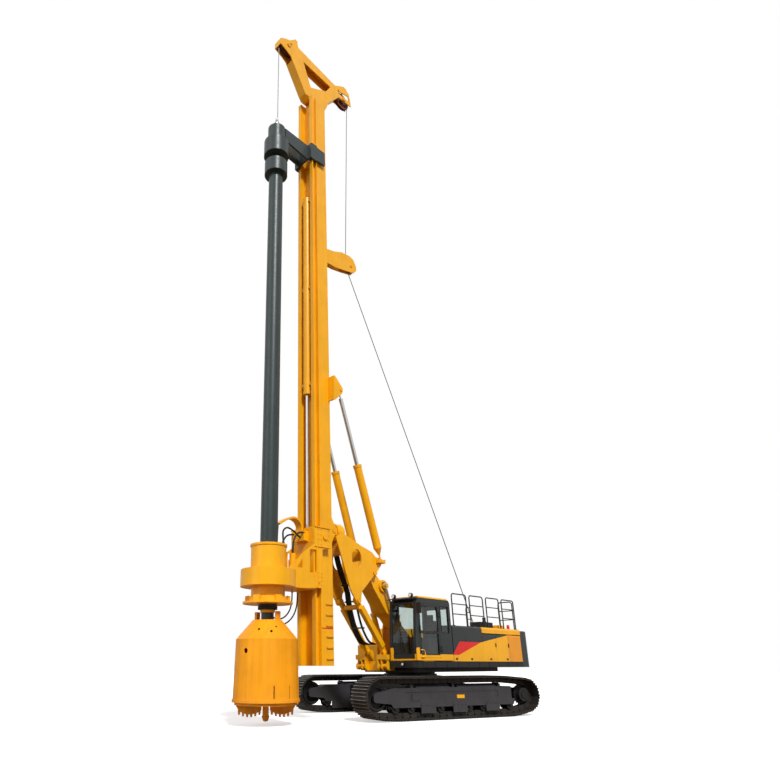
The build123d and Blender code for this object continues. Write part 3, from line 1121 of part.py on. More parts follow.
def kelly_bar():
    """Outer tube with drive keys and a top collar, round the inner bar that ends below."""
    bar = bar_z(KELLY_X, 0, (KELLY_BOTTOM, KELLY_TOP), KELLY_R)
    bar += bar_z(KELLY_X, 0, (KELLY_TOP - 550, KELLY_TOP), 410)
    bar -= bar_z(KELLY_X, 0, (KELLY_BOTTOM + 300, KELLY_TOP + 1), KELLY_R - KELLY_WALL)
    shaft = bar_z(KELLY_X, 0, (KELLY_TOP - 100, GUIDE_TOP), GUIDE_SHAFT_R)
    shaft += bar_z(KELLY_X, 0, (KELLY_TOP - 60, KELLY_TOP + 60), 330)
    bar += shaft - bar_z(KELLY_X, 0, (KELLY_TOP - 101, GUIDE_TOP + 1), GUIDE_SHAFT_R - 45)
    bar += bar_z(KELLY_X, 0, (CONE_TOP, KELLY_BOTTOM + 1), STUB_R)
    return bar


def rope_swivel():
    """Swivel and rope socket on top of the kelly."""
    z = GUIDE_TOP + 10
    profile = [(0, z), (95, z), (95, z + 300), (45, z + 470), (45, z + 540), (0, z + 540)]
    return Pos(KELLY_X, 0, 0) * revolve(Plane.XZ * Polygon(*profile, align=None), Axis.Z)


def bucket():
    """Open-bottomed drilling bucket: tapered shell, cone roof, rim and two top ears."""
    w = BUCKET_WALL
    section = [
        (0, CONE_TOP), (400, CONE_TOP), (BUCKET_R_TOP, BUCKET_TOP + 15), (BUCKET_R_TOP, BUCKET_TOP - 20),
        (BUCKET_R_LOW, BUCKET_LOW + 70), (BUCKET_R_LOW + BUCKET_RIM, BUCKET_LOW + 70),
        (BUCKET_R_LOW + BUCKET_RIM, BUCKET_LOW), (BUCKET_R_LOW - w, BUCKET_LOW),
        (BUCKET_R_TOP - w, BUCKET_TOP - 20), (390, CONE_TOP - w - 15), (0, CONE_TOP - w - 15),
    ]
    shell = Pos(KELLY_X, 0, 0) * revolve(Plane.XZ * Polygon(*section, align=None), Axis.Z)
    turned = Pos(KELLY_X, 0, 0)
    for angle in (103, 283):
        ear = block((310, 388), (-72, 72), (CONE_TOP - 30, CONE_TOP + BUCKET_EAR))
        ear += bar_x(0, CONE_TOP + BUCKET_EAR - 70, (292, 406), 34)
        shell += turned * Rot(0, 0, angle) * ear
    # vents in the cone and the side, and slots at the foot: (angle, height, radius)
    for angle, z, r in ((30, 2330, 32), (60, 2280, 32), (75, 2400, 26), (150, 2330, 32), (210, 2280, 32),
                        (270, 2330, 32), (10, 1800, 65), (190, 1800, 65)):
        shell -= turned * Rot(0, 0, angle) * bar_x(0, z, (350, 900), r)
    for angle in (64, 94, 244, 274):
        slot = block((700, 900), (-14, 14), (BUCKET_LOW + 100, BUCKET_LOW + 400))
        shell -= turned * Rot(0, 0, angle) * slot
    # hinge lugs of the gate, on the rim
    x, z = GATE_HINGE
    for y in ((-190, -150), (150, 190)):
        lug = block((x - 40, x + 60), y, (z - 40, BUCKET_LOW + 69))
        shell += lug - bar_y(GATE_HINGE, (y[0] - 1, y[1] + 1), GATE_PIN_R + FIT)
    return shell


def bucket_gate():
    """Floor of the bucket with two curved cutting blades, their teeth and the pilot."""
    top = BUCKET_LOW - RUN_GAP
    bottom = top - GATE_THICK
    gate = bar_z(KELLY_X, 0, (bottom, top), BUCKET_R_LOW - 45)
    fan = [(110, bottom + 1), (110, bottom - 130), (260, bottom - 215), (480, bottom - 235),
           (680, bottom - 160), (790, bottom + 1)]
    # openings where the soil enters, each beside a blade
    for turn in (140, 320):
        half = Pos(KELLY_X, 0, 0) * Rot(0, 0, turn)
        gate -= half * block((130, BUCKET_R_LOW - 160), (40, 280), (bottom - 1, top + 1))
        blade = side_plate(fan, (-25, 35))
        for i in range(6):
            x = 160 + i * 105
            deep = bottom - 150 - 90 * math.sin(math.pi * (i + 0.7) / 6.4)
            tooth = [(x - 38, deep + 60), (x - 22, deep - 60), (x + 22, deep - 60), (x + 38, deep + 60)]
            blade += side_plate(tooth, (-40, 15))
        gate += half * blade
    pilot = [(0, bottom + 1), (80, bottom + 1), (80, bottom - 250), (105, bottom - 270), (60, 105), (0, 90)]
    gate += Pos(KELLY_X, 0, 0) * revolve(Plane.XZ * Polygon(*pilot, align=None), Axis.Z)
    x, z = GATE_HINGE
    arm = block((x, KELLY_X - BUCKET_R_LOW + 90), (-140, 140), (bottom, z + 15))
    gate += arm + bar_y(GATE_HINGE, (-140, 140), GATE_PIN_R + 18)
    return gate + bar_y(GATE_HINGE, (-189, 189), GATE_PIN_R)


def main():
    os.makedirs("parts", exist_ok=True)
    undercarriage()
    houses()
    cab()
    cylinders()
    nodes = {
        "deck": deck, "nose": nose, "boom_tower": boom_tower, "counterweight": counterweight,
        "handrails": handrails, "lamps": lamps, "winch_drum": winch_drum, "winch_stand": winch_stand,
        "boom": boom, "support_rods": support_rods, "triangle": triangle,
        "cross_seat": cross_seat, "mast": mast, "mast_head": mast_head,
        "pulley_arm": pulley_arm, "crowd_barrel": crowd_barrel,
        "carriage": carriage, "rotary_drive": rotary_drive, "drive_output": drive_output,
        "drive_motors": drive_motors, "crowd_rod": crowd_rod,
        "kelly_guide": kelly_guide, "kelly_bar": kelly_bar, "rope_swivel": rope_swivel,
        "bucket": bucket, "bucket_gate": bucket_gate,
    }
    for name, make in nodes.items():
        save(name, make())
    for i, hose in enumerate(DRIVE_HOSES):
        save(f"drive_hose_{i + 1}", drive_hose(*hose))
    save("sheave_front", sheave(HEAD_PIN, SHEAVE_R, SHEAVE_HALF, SHEAVE_PIN))
    save("sheave_rear", sheave(TAIL_PIN, SHEAVE_R, SHEAVE_HALF, SHEAVE_PIN))
    save("guide_pulley", sheave(PULLEY_PIN, PULLEY_R, SHEAVE_HALF, PULLEY_PIN_R))


main()
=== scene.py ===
# %% [markdown]
# # Dressing a rotary piling rig
#
# The rig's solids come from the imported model, in metres, with +X forward and +Z up.
# This lesson paints them and adds what a solid model leaves out: ribbed track shoes,
# bolts, seams, the hoist rope and the cab's fittings. Everything new is worked out with
# numpy as whole arrays, because a machine is made of shapes that a formula can say.
#
# The frame's origin is under the middle of the whole rig, but a rig is drawn from the
# centre that it slews about. So places below are metres from the slewing centre, and
# every piece is moved by SLEW_X as its arrays become a mesh.

import json
import math

import bpy
import numpy as np
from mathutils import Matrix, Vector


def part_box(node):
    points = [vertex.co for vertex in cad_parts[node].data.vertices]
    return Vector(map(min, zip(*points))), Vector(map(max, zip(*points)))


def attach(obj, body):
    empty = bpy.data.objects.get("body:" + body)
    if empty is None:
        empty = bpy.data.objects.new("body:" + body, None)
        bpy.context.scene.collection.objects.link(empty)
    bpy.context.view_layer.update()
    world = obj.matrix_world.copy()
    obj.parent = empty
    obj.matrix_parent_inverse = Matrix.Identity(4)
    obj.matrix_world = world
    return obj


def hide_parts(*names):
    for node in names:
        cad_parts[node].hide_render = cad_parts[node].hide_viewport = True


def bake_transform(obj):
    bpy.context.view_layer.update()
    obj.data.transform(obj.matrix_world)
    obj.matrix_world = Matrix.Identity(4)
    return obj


def new_object(name, data):
    """An object of this data, linked into the scene."""
    made = bpy.data.objects.new(name, data)
    bpy.context.collection.objects.link(made)
    return made


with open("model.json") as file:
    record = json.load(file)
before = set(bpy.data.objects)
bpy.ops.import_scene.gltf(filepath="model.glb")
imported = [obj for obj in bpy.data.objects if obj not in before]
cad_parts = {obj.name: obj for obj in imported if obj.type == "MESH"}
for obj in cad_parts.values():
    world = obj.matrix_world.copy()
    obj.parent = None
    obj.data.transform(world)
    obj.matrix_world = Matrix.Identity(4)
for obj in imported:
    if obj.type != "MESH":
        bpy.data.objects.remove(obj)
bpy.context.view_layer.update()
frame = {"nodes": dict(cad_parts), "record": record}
nodes = frame["nodes"]
ring_low, ring_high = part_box("slew_ring")
SLEW_X = (ring_low[0] + ring_high[0]) / 2
print("slewing centre at x =", round(SLEW_X, 4))

# %% [markdown]
# ## The camera
#
# A rig 25 m tall was seen from a person's height, well off to its front left, with the
# view tipped up. Uprights then lean together towards the top. A long lens from far away
# would straighten them, so the place of the camera is what matters here, and the shift
# keeps the frame where it was without turning the camera.

# %% Camera
CAMERA_PLACE = (17.106 + SLEW_X, 13.377, 1.470)
CAMERA_YAW, CAMERA_PITCH = math.radians(227.39), math.radians(20.66)
camera_data = bpy.data.cameras.new("view")
camera_data.sensor_width = 36.0
camera_data.lens = 28.17
camera_data.shift_x = 0.1128
camera_data.shift_y = 0.0567
camera_data.clip_end = 300.0
camera = new_object("view", camera_data)
camera.location = CAMERA_PLACE
camera.rotation_euler = (math.pi / 2 + CAMERA_PITCH, 0.0, CAMERA_YAW - math.pi / 2)
bpy.context.scene.camera = camera
away = math.hypot(CAMERA_PLACE[0] - SLEW_X, CAMERA_PLACE[1])
print("camera is", round(away, 2), "m from the slewing centre")

# %% [markdown]
# ## Two hoses that hang free
#
# Oil reaches the turning gear's case through hoses that hang in loops under the
# carriage, so that they never pull on their glands. A hose is one length of something
# that bends but doesn't stretch, so it is one smooth spline through a few given points:
# straight down out of the gland, round a flat bottom, and straight up again.
# The other way, a cloth or rope simulation, would give the same loop at more cost.

# %% Hanging hoses
HOSE_R, HOSE_END = 0.020, 3.41
# start, end, lowest height and length of each hose
HOSES = {
    "drive_hose_1": ((4.890, -0.100), (5.720, -0.640), 2.500, 2.26),
    "drive_hose_2": ((4.990, -0.220), (5.655, -0.600), 2.660, 1.83),
}
# (share of the way across, share of the drop)
HOSE_LOOP = np.array([
    (0.0, 0.0), (0.0, 0.34), (0.10, 0.70), (0.32, 0.95),
    (0.62, 1.0), (0.88, 0.74), (1.0, 0.34), (1.0, 0.0),
])


def hanging_hose(node, start, end, lowest, length):
    """A NURBS tube; plan = start + across (end - start), height = top + drop (lowest - top)."""
    across, drop = HOSE_LOOP.T
    plan = np.array(start) + across[:, None] * (np.array(end) - np.array(start))
    places = np.column_stack([plan, HOSE_END + drop * (lowest - HOSE_END)]) + [SLEW_X, 0.0, 0.0]
    curve = bpy.data.curves.new("hanging_" + node, "CURVE")
    curve.dimensions = "3D"
    spline = curve.splines.new("NURBS")
    spline.points.add(len(places) - 1)
    spline.points.foreach_set("co", np.column_stack([places, np.ones(len(places))]).ravel())
    spline.order_u = 3
    spline.use_endpoint_u = True
    spline.resolution_u = 12
    curve.bevel_depth = HOSE_R
    curve.bevel_resolution = 4
    curve.use_fill_caps = True
    hose = new_object("hanging_" + node, curve)
    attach(hose, "carriage")
    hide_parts(node)
    return hose


hoses = [hanging_hose(node, *route) for node, route in HOSES.items()]
print("hoses", len(hoses))

# %% [markdown]
# ## The studio
#
# Outdoors the sun makes one hard shadow and the sky fills it. In a studio a large lamp
# does the first job softly and a pale world does the second. Light Path tells who looks:
# the floor and the world are white to the camera, and darker as lights on the machine,
# which gets no more light than its colours need.


# %% Shader nodes
def clear_nodes(holder):
    """Give a material or a world nodes, and return its emptied tree."""
    holder.use_nodes = True
    holder.node_tree.nodes.clear()
    return holder.node_tree


def add_node(tree, kind, inputs=(), **settings):
    """A shader node; each input is a number, a tuple, a socket or a node's first output."""
    made = tree.nodes.new("ShaderNode" + kind)
    for key, value in settings.items():
        setattr(made, key, value)
    for key, value in dict(inputs).items():
        socket = made.inputs[key]
        if isinstance(value, bpy.types.Node):
            value = value.outputs[0]
        if isinstance(value, bpy.types.NodeSocket):
            tree.links.new(value, socket)
        elif isinstance(value, tuple) and len(value) < len(socket.default_value):
            socket.default_value = value + (1.0,)
        else:
            socket.default_value = value
    return made


def node_math(tree, operation, a, b):
    """The result of a Math node of two values, each a socket or a number."""
    return add_node(tree, "Math", {0: a, 1: b}, operation=operation).outputs[0]


# %% Floor and world
FLOOR_REACH, FLOOR_DEPTH = 120.0, 0.01
FLOOR_WHITE, FLOOR_GLOW, FLOOR_BOUNCE = (0.9, 0.9, 0.9), 0.52, (0.34, 0.26, 0.17)


def studio_floor():
    """A wide square a centimetre under the shoes: white where it is seen, else a warm tone."""
    r, z = FLOOR_REACH, -FLOOR_DEPTH
    mesh = bpy.data.meshes.new("floor")
    mesh.from_pydata([(-r, -r, z), (r, -r, z), (r, r, z), (-r, r, z)], [], [(0, 1, 2, 3)])
    floor = new_object("floor", mesh)
    material = bpy.data.materials.new("pale_floor")
    tree = clear_nodes(material)
    white = add_node(tree, "BsdfDiffuse", {"Color": FLOOR_WHITE})
    glow = add_node(tree, "Emission", {"Strength": FLOOR_GLOW})
    seen = add_node(tree, "AddShader", {0: white, 1: glow})
    under = add_node(tree, "BsdfDiffuse", {"Color": FLOOR_BOUNCE})
    camera_ray = add_node(tree, "LightPath").outputs["Is Camera Ray"]
    choose = add_node(tree, "MixShader", {"Fac": camera_ray, 1: under, 2: seen})
    add_node(tree, "OutputMaterial", {"Surface": choose})
    mesh.materials.append(material)


def studio_world(ambient):
    """A plain world of this strength that looks white to eye, mirror and glass."""
    world = bpy.data.worlds.new("studio")
    tree = clear_nodes(world)
    path = add_node(tree, "LightPath").outputs
    seen = node_math(tree, "MAXIMUM", path["Is Camera Ray"], path["Is Glossy Ray"])
    seen = node_math(tree, "MAXIMUM", seen, path["Is Transmission Ray"])
    strength = add_node(tree, "MapRange", {"Value": seen, "To Min": ambient, "To Max": 1.0})
    background = add_node(tree, "Background", {"Color": (1.0, 1.0, 1.0), "Strength": strength})
    add_node(tree, "OutputWorld", {"Surface": background})
    bpy.context.scene.world = world


# %% Lamps
def sun_lamp(name, strength, from_azimuth, height, softness):
    """A far lamp that shines from this compass angle (from +X towards +Y) and height."""
    lamp = bpy.data.lights.new(name, "SUN")
    lamp.energy = strength
    lamp.angle = math.radians(softness)
    holder = new_object(name, lamp)
    holder.rotation_euler = (0.0, math.radians(90.0 - height), math.radians(from_azimuth))


AMBIENT = 0.30
# strength, compass angle, height and softness
LAMPS = {"key": (3.1, 64.0, 42.0, 10.0), "fill": (0.75, -8.0, 25.0, 40.0)}
studio_floor()
studio_world(AMBIENT)
for name, numbers in LAMPS.items():
    sun_lamp(name, *numbers)
bpy.context.scene.view_settings.view_transform = "Standard"

# %% [markdown]
# ## Paint
#
# Machine paint is nearly one colour. What tells the eye that it is real is a little
# unevenness: cloudy gloss, a trace of dust low down, rain streaks on tall plates. A
# noise texture on Object coordinates gives that on every side at once, with nothing to
# unwrap, because each solid's object sits at the origin and so shares one space.


# %% Places, clouds and mixes
def object_place(tree):
    """Sockets of the object's coordinates, which are the frame's: (vector, x, y, z)."""
    vector = add_node(tree, "TexCoord").outputs["Object"]
    return (vector,) + tuple(add_node(tree, "SeparateXYZ", {0: vector}).outputs)


def cloudiness(tree, vector, scale, low, high):
    """Noise of this scale, its middle part spread over low to high."""
    noise = add_node(tree, "TexNoise", {"Scale": scale, "Detail": 4.0, "Vector": vector})
    ends = {"From Min": 0.3, "From Max": 0.7, "To Min": low, "To Max": high}
    return add_node(tree, "MapRange", {"Value": noise.outputs["Fac"], **ends}).outputs["Result"]


def mix_colour(tree, share, first, second, blend="MIX"):
    """A colour Mix of two colours, each a socket or three numbers."""
    inputs = {"Factor": share, "A": first, "B": second}
    return add_node(tree, "Mix", inputs, data_type="RGBA", blend_type=blend).outputs["Result"]


# %% Paint
DUST = (0.23, 0.19, 0.15)
# how fine each noise is, per metre; rain streaks are drawn out along Z
SHADE_SCALE, DUST_SCALE, GLOSS_SCALE, GRAIN_SCALE = 1.7, 5.0, 9.0, 60.0
STREAK_SCALE = (9.0, 9.0, 0.45)
GRAIN_HEIGHT, COAT_ROUGHNESS = 0.004, 0.15


def paint(name, colour, roughness, metallic=0.0, uneven=0.06, dust_top=0.0, coat=0.0,
          pattern=None, dust=0.25, streaks=0.05, gloss=0.3, bump=0.0):
    """Paint or metal: colour x cloudiness x rain streaks, with dust that ends at dust_top."""
    material = bpy.data.materials.new(name)
    tree = clear_nodes(material)
    vector, x, y, z = object_place(tree)
    shade = cloudiness(tree, vector, SHADE_SCALE, 1.0 - uneven, 1.0 + uneven)
    if streaks:
        tall = add_node(tree, "Mapping", {"Scale": STREAK_SCALE, "Vector": vector})
        runs = cloudiness(tree, tall.outputs[0], 1.0, 1.0 - streaks, 1.0 + streaks * 0.5)
        shade = node_math(tree, "MULTIPLY", shade, runs)
    grey = add_node(tree, "CombineColor", {0: shade, 1: shade, 2: shade})
    base = pattern(tree, x, y, z) if pattern else colour
    base = mix_colour(tree, 1.0, base, grey, "MULTIPLY")
    if dust_top:
        fade = node_math(tree, "ADD", node_math(tree, "DIVIDE", z, -dust_top), 1.0)
        fade = node_math(tree, "MULTIPLY", fade, cloudiness(tree, vector, DUST_SCALE, 0.2, 1.0))
        fade = node_math(tree, "MULTIPLY", node_math(tree, "MAXIMUM", fade, 0.0), dust)
        base = mix_colour(tree, fade, base, DUST)
    rough = cloudiness(tree, vector, GLOSS_SCALE, roughness * 0.85, roughness * 1.15)
    inputs = {"Base Color": base, "Roughness": rough, "Metallic": metallic,
              "Specular IOR Level": gloss, "Coat Weight": coat, "Coat Roughness": COAT_ROUGHNESS}
    if bump:
        grain = add_node(tree, "TexNoise", {"Scale": GRAIN_SCALE, "Vector": vector}).outputs["Fac"]
        relief = {"Strength": bump, "Distance": GRAIN_HEIGHT, "Height": grain}
        inputs["Normal"] = add_node(tree, "Bump", relief)
    add_node(tree, "OutputMaterial", {"Surface": add_node(tree, "BsdfPrincipled", inputs)})
    return material


# %% Finishes
YELLOW = (0.89, 0.415, 0.003)
BUCKET_YELLOW = (0.90, 0.345, 0.003)
PANEL_ORANGE = (0.80, 0.300, 0.006)
CHARCOAL = (0.014, 0.019, 0.021)
BLACK = (0.009, 0.009, 0.010)
FRAME_GREY = (0.038, 0.036, 0.043)
GREEN_BLACK = (0.026, 0.040, 0.041)
TRACK_BROWN = (0.022, 0.020, 0.019)
RED = (0.70, 0.012, 0.012)
finishes = {
    "yellow": paint("machine_yellow", YELLOW, 0.38, coat=0.06),
    "bucket_yellow": paint("bucket_yellow", BUCKET_YELLOW, 0.50, uneven=0.09, dust_top=0.9,
                           streaks=0.12, bump=0.12),
    "charcoal": paint("charcoal_paint", CHARCOAL, 0.40, coat=0.06),
    "black": paint("frame_black", BLACK, 0.50, uneven=0.15, dust_top=1.3, dust=0.06),
    "green_black": paint("kelly_green_black", GREEN_BLACK, 0.38, uneven=0.12, streaks=0.15,
                         bump=0.05),
    "track_steel": paint("track_steel", TRACK_BROWN, 0.50, metallic=0.35, uneven=0.25,
                         dust_top=1.5, dust=0.12, bump=0.25),
    "steel": paint("bare_steel", (0.30, 0.30, 0.31), 0.34, metallic=1.0, gloss=0.5),
    "chrome_rod": paint("polished_rod", (0.55, 0.55, 0.56), 0.14, metallic=1.0, uneven=0.02,
                        streaks=0.0, gloss=0.5),
    "oxide_red": paint("oxide_red", (0.13, 0.030, 0.016), 0.48, uneven=0.12),
    "seat_trim": paint("seat_trim", (0.018, 0.018, 0.020), 0.75, bump=0.4),
    "rubber": paint("black_rubber", BLACK, 0.58, streaks=0.0, bump=0.15),
    "engine_block": paint("engine_block", (0.05, 0.05, 0.05), 0.6),
    "lamp": paint("lamp_white", (0.85, 0.85, 0.82), 0.15, streaks=0.0, gloss=0.6),
    "red": paint("signal_red", RED, 0.35),
    "track_frame": paint("track_frame_grey", FRAME_GREY, 0.50, uneven=0.12, dust_top=0.8,
                         dust=0.10, streaks=0.1, bump=0.08),
    # lighter than the shoes, for the rib tops: partly real worn steel, partly a painted highlight
    "worn_steel_and_highlight": paint("worn_steel_and_highlight", (0.20, 0.185, 0.165), 0.42, metallic=0.7, uneven=0.3,
                        bump=0.3, gloss=0.5),
    "rope_steel": paint("rope_steel", (0.20, 0.20, 0.20), 0.5, metallic=0.7),
    "mirror_glass": paint("mirror_glass", (0.75, 0.77, 0.78), 0.05, metallic=1.0, uneven=0.01),
}
# the record's slot for a finish that isn't named after one; it has none for lamps and red
SLOTS = {"track_frame": "black", "worn_steel_and_highlight": "track_steel", "rope_steel": "steel",
         "mirror_glass": "steel", "lamp": None, "red": None}
print("finishes", len(finishes))

# %% [markdown]
# ## Glass
#
# Tinted cab glass shows a dark room and a bright sky at once. A mix of a see-through
# tint and a glossy face does that without bending rays through two surfaces. The share
# of gloss rises towards grazing as Schlick's F = f0 + (1 - f0)(1 - cos a)^5, which is
# the same on the way in and out; a Fresnel node is not, and turns thin panes black.


# %% Cab glass
HEAD_ON = 0.035
GLASS_TINT, GLASS_SHINE, GLASS_ROUGHNESS = (0.84, 0.88, 0.87), (0.9, 0.9, 0.9), 0.03


def cab_glazing():
    """Tint mixed with gloss by Schlick's share, 1 - cos a being Layer Weight's Facing."""
    material = bpy.data.materials.new("cab_glass")
    tree = clear_nodes(material)
    tint = add_node(tree, "BsdfTransparent", {"Color": GLASS_TINT})
    gloss = add_node(tree, "BsdfGlossy", {"Roughness": GLASS_ROUGHNESS, "Color": GLASS_SHINE})
    away = add_node(tree, "LayerWeight", {"Blend": 0.5}).outputs["Facing"]
    share = node_math(tree, "MULTIPLY", node_math(tree, "POWER", away, 5.0), 1.0 - HEAD_ON)
    share = node_math(tree, "ADD", share, HEAD_ON)
    mixed = add_node(tree, "MixShader", {"Fac": share, 1: tint, 2: gloss})
    add_node(tree, "OutputMaterial", {"Surface": mixed})
    return material


finishes["glass"] = cab_glazing()

# %% [markdown]
# ## The livery of the left house
#
# The side of the house is black above and yellow below, with a red wedge between. Each
# border is a straight line on the panel, so the material works out how high the line is
# at this x and compares it with z. Two lines meet in a corner where the lower of them
# is taken. No picture is needed, and the edge stays sharp at any size.


# %% Livery
def line_height(tree, x, start, end):
    """Height at x of the line through two (x, z) points: slope times x, plus a constant."""
    slope = (end[1] - start[1]) / (end[0] - start[0])
    rise = node_math(tree, "MULTIPLY", x, slope)
    return node_math(tree, "ADD", rise, start[1] - slope * start[0])


WEDGE_FOOT, WEDGE_TIP, BAND_TIP = (-0.390, 1.747), (-1.700, 2.151), (-3.409, 2.417)
WEDGE_FRONT, WEDGE_CORNER = (-0.050, 1.747), (-0.470, 2.151)


def house_livery(tree, x, y, z):
    """Yellow under the lower border, red between them, charcoal above, a last orange door."""
    x = node_math(tree, "SUBTRACT", x, SLEW_X)
    lower = node_math(tree, "MINIMUM", line_height(tree, x, WEDGE_FOOT, WEDGE_TIP),
                      line_height(tree, x, WEDGE_TIP, BAND_TIP))
    lower = node_math(tree, "MAXIMUM", lower, WEDGE_FOOT[1])
    behind = node_math(tree, "LESS_THAN", x, BAND_TIP[0])
    lower = node_math(tree, "ADD", lower, behind)
    upper = node_math(tree, "MINIMUM", line_height(tree, x, WEDGE_FRONT, WEDGE_CORNER),
                      line_height(tree, x, WEDGE_CORNER, WEDGE_TIP))
    upper = node_math(tree, "MAXIMUM", upper, WEDGE_FOOT[1])
    above = node_math(tree, "GREATER_THAN", z, lower)
    over_red = node_math(tree, "GREATER_THAN", z, upper)
    dark = mix_colour(tree, over_red, RED, CHARCOAL)
    return mix_colour(tree, above, mix_colour(tree, behind, YELLOW, PANEL_ORANGE), dark)


SILL_TOP, SILL_LINE, SIDE_SKIN = 1.757, 1.622, 1.600


def cab_livery(tree, x, y, z):
    """Charcoal cab with a yellow sill along its left side and a thin line round its foot."""
    side_top = node_math(tree, "MULTIPLY", node_math(tree, "GREATER_THAN", y, SIDE_SKIN), SILL_TOP)
    top = node_math(tree, "MAXIMUM", side_top, SILL_LINE)
    return mix_colour(tree, node_math(tree, "GREATER_THAN", z, top), YELLOW, CHARCOAL)


for name, pattern in (("house_livery", house_livery), ("cab_paint", cab_livery)):
    finishes[name] = paint(name, YELLOW, 0.38, coat=0.06, pattern=pattern)
print("finishes with the liveries", len(finishes))

# %% [markdown]
# ## Finishes of the solids
#
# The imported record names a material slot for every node, and each slot has a finish of
# the same name above. A few nodes have a livery or a shade of their own instead.

# %% Paint the solids
OWN_FINISH = {
    "house_left": "house_livery", "cab_frame": "cab_paint", "cab_door": "cab_paint",
    "track_frame_left": "track_frame", "track_frame_right": "track_frame", "lamps": "black",
}
for part in frame["record"]["subparts"]:
    name = part["node"]
    materials = nodes[name].data.materials
    materials.clear()
    materials.append(finishes[OWN_FINISH.get(name, part["material_slot"])])
print("painted", len(nodes), "solids")

# %% [markdown]
# ## Making a piece from arrays
#
# Every new piece is a pair of arrays: vertices in metres and faces that index them.
# Pieces of the same kind are joined by stacking the arrays, which is far quicker than
# joining objects, and one object then carries hundreds of bolts.


# %% Joining arrays and adding a piece
def join_arrays(parts):
    """Stack (vertices, faces) pairs into one pair; each one's faces count on from before."""
    vertices, faces, start = [], [], 0
    for points, indices in parts:
        vertices.append(np.asarray(points, float))
        faces.extend([tuple(int(i) + start for i in face) for face in indices])
        start += len(points)
    return np.concatenate(vertices), faces


def add_piece(name, arrays, finish, body="superstructure", smooth=False, slot=None):
    """A mesh from arrays about the slewing centre, with its finish and its body; its slot is worked
    out but not stored.
    """
    mesh = bpy.data.meshes.new(name)
    mesh.from_pydata((np.asarray(arrays[0]) + [SLEW_X, 0.0, 0.0]).tolist(), [], arrays[1])
    mesh.validate()
    mesh.materials.append(finishes[finish])
    if smooth:
        mesh.shade_smooth()
        mesh.set_sharp_from_angle(angle=math.radians(40.0))
    piece = new_object(name, mesh)
    slot = slot or SLOTS.get(finish, finish)
    if body:
        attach(piece, body)
    return piece


# %% Moving and repeating arrays
def moved(arrays, offset=(0.0, 0.0, 0.0), turn=np.eye(3)):
    """The same arrays turned by a 3x3 matrix about the origin, then shifted."""
    return np.asarray(arrays[0]) @ turn.T + offset, arrays[1]


def repeat(arrays, places, turns=None):
    """Copies of one pair of arrays at each place, each turned by its own 3x3 matrix."""
    points, faces = np.asarray(arrays[0]), arrays[1]
    places = np.asarray(places, float)
    turned = points[None] if turns is None else np.einsum("nij,vj->nvi", turns, points)
    starts = len(points) * np.arange(len(places))
    all_faces = [tuple(int(start) + i for i in face) for start in starts for face in faces]
    return (turned + places[:, None]).reshape(-1, 3), all_faces


def turn_z(angle):
    """3x3 matrix of a turn about Z."""
    c, s = math.cos(angle), math.sin(angle)
    return np.array([[c, -s, 0.0], [s, c, 0.0], [0.0, 0.0, 1.0]])


def at_side(flat, y=0.0):
    """Points (x, z) set at this y."""
    return np.insert(np.asarray(flat, float), 1, y, axis=1)


def circle(sides):
    """Cosines and sines of evenly spaced angles round a circle."""
    angle = np.linspace(0.0, 2 * math.pi, sides, endpoint=False)
    return np.cos(angle), np.sin(angle)


# %% Skins, boxes and prisms
def skin_faces(rings, sides, closed=False):
    """Quads between rings of points; the last ring meets the first, or each end gets a cap."""
    i, j = np.meshgrid(np.arange(rings - (not closed)), np.arange(sides), indexing="ij")
    near, far = i * sides, (i + 1) % rings * sides
    quads = np.stack([near + j, far + j, far + (j + 1) % sides, near + (j + 1) % sides], -1)
    faces = [tuple(quad) for quad in quads.reshape(-1, 4).tolist()]
    if not closed:
        faces += [tuple(range(sides)), tuple(range(rings * sides - 1, (rings - 1) * sides - 1, -1))]
    return faces


def flipped(faces):
    """The same faces turned inside out."""
    return [face[::-1] for face in faces]


def box_arrays(low, high):
    """The eight corners and six outward faces of a box."""
    grid = np.array([[x, y, z] for z in (0, 1) for y in (0, 1) for x in (0, 1)], float)
    points = np.array(low) + grid * (np.array(high) - np.array(low))
    faces = [(0, 2, 3, 1), (4, 5, 7, 6), (0, 1, 5, 4), (2, 6, 7, 3), (0, 4, 6, 2), (1, 3, 7, 5)]
    return points, faces


def prism_arrays(outline, half):
    """An outline in (x, z), anticlockwise seen from -Y, carried from y = -half to +half."""
    return (np.concatenate([at_side(outline, y) for y in (-half, half)]),
            skin_faces(2, len(outline)))


def slab_arrays(outline, low, high):
    """A plan outline, anticlockwise from above, carried from z = low to high."""
    flat = np.asarray(outline, float)
    return (np.concatenate([np.insert(flat, 2, z, axis=1) for z in (low, high)]),
            flipped(skin_faces(2, len(flat))))


def disc_arrays(radius, low, high, sides=6):
    """A slab on a regular polygon (r cos a, r sin a)."""
    return slab_arrays(radius * np.column_stack(circle(sides)), low, high)


# %% Tubes and turned shapes
def tube_arrays(path, radius, sides=12):
    """A round skin on a path: ring = point + radius (cos a . across + sin a . over).

    "across" is carried from point to point square to the path, so the skin never twists.
    """
    path = np.asarray(path, float)
    along = np.gradient(path, axis=0)
    along /= np.linalg.norm(along, axis=1)[:, None]
    side = np.eye(3)[np.abs(along[0]).argmin()]
    across = np.empty_like(along)
    for i, ahead in enumerate(along):
        side = side - ahead * (ahead @ side)
        side /= np.linalg.norm(side)
        across[i] = side
    over = np.cross(along, across)
    cos, sin = (part[None, :, None] for part in circle(sides))
    rings = path[:, None] + radius * (cos * across[:, None] + sin * over[:, None])
    return rings.reshape(-1, 3), flipped(skin_faces(len(path), sides))


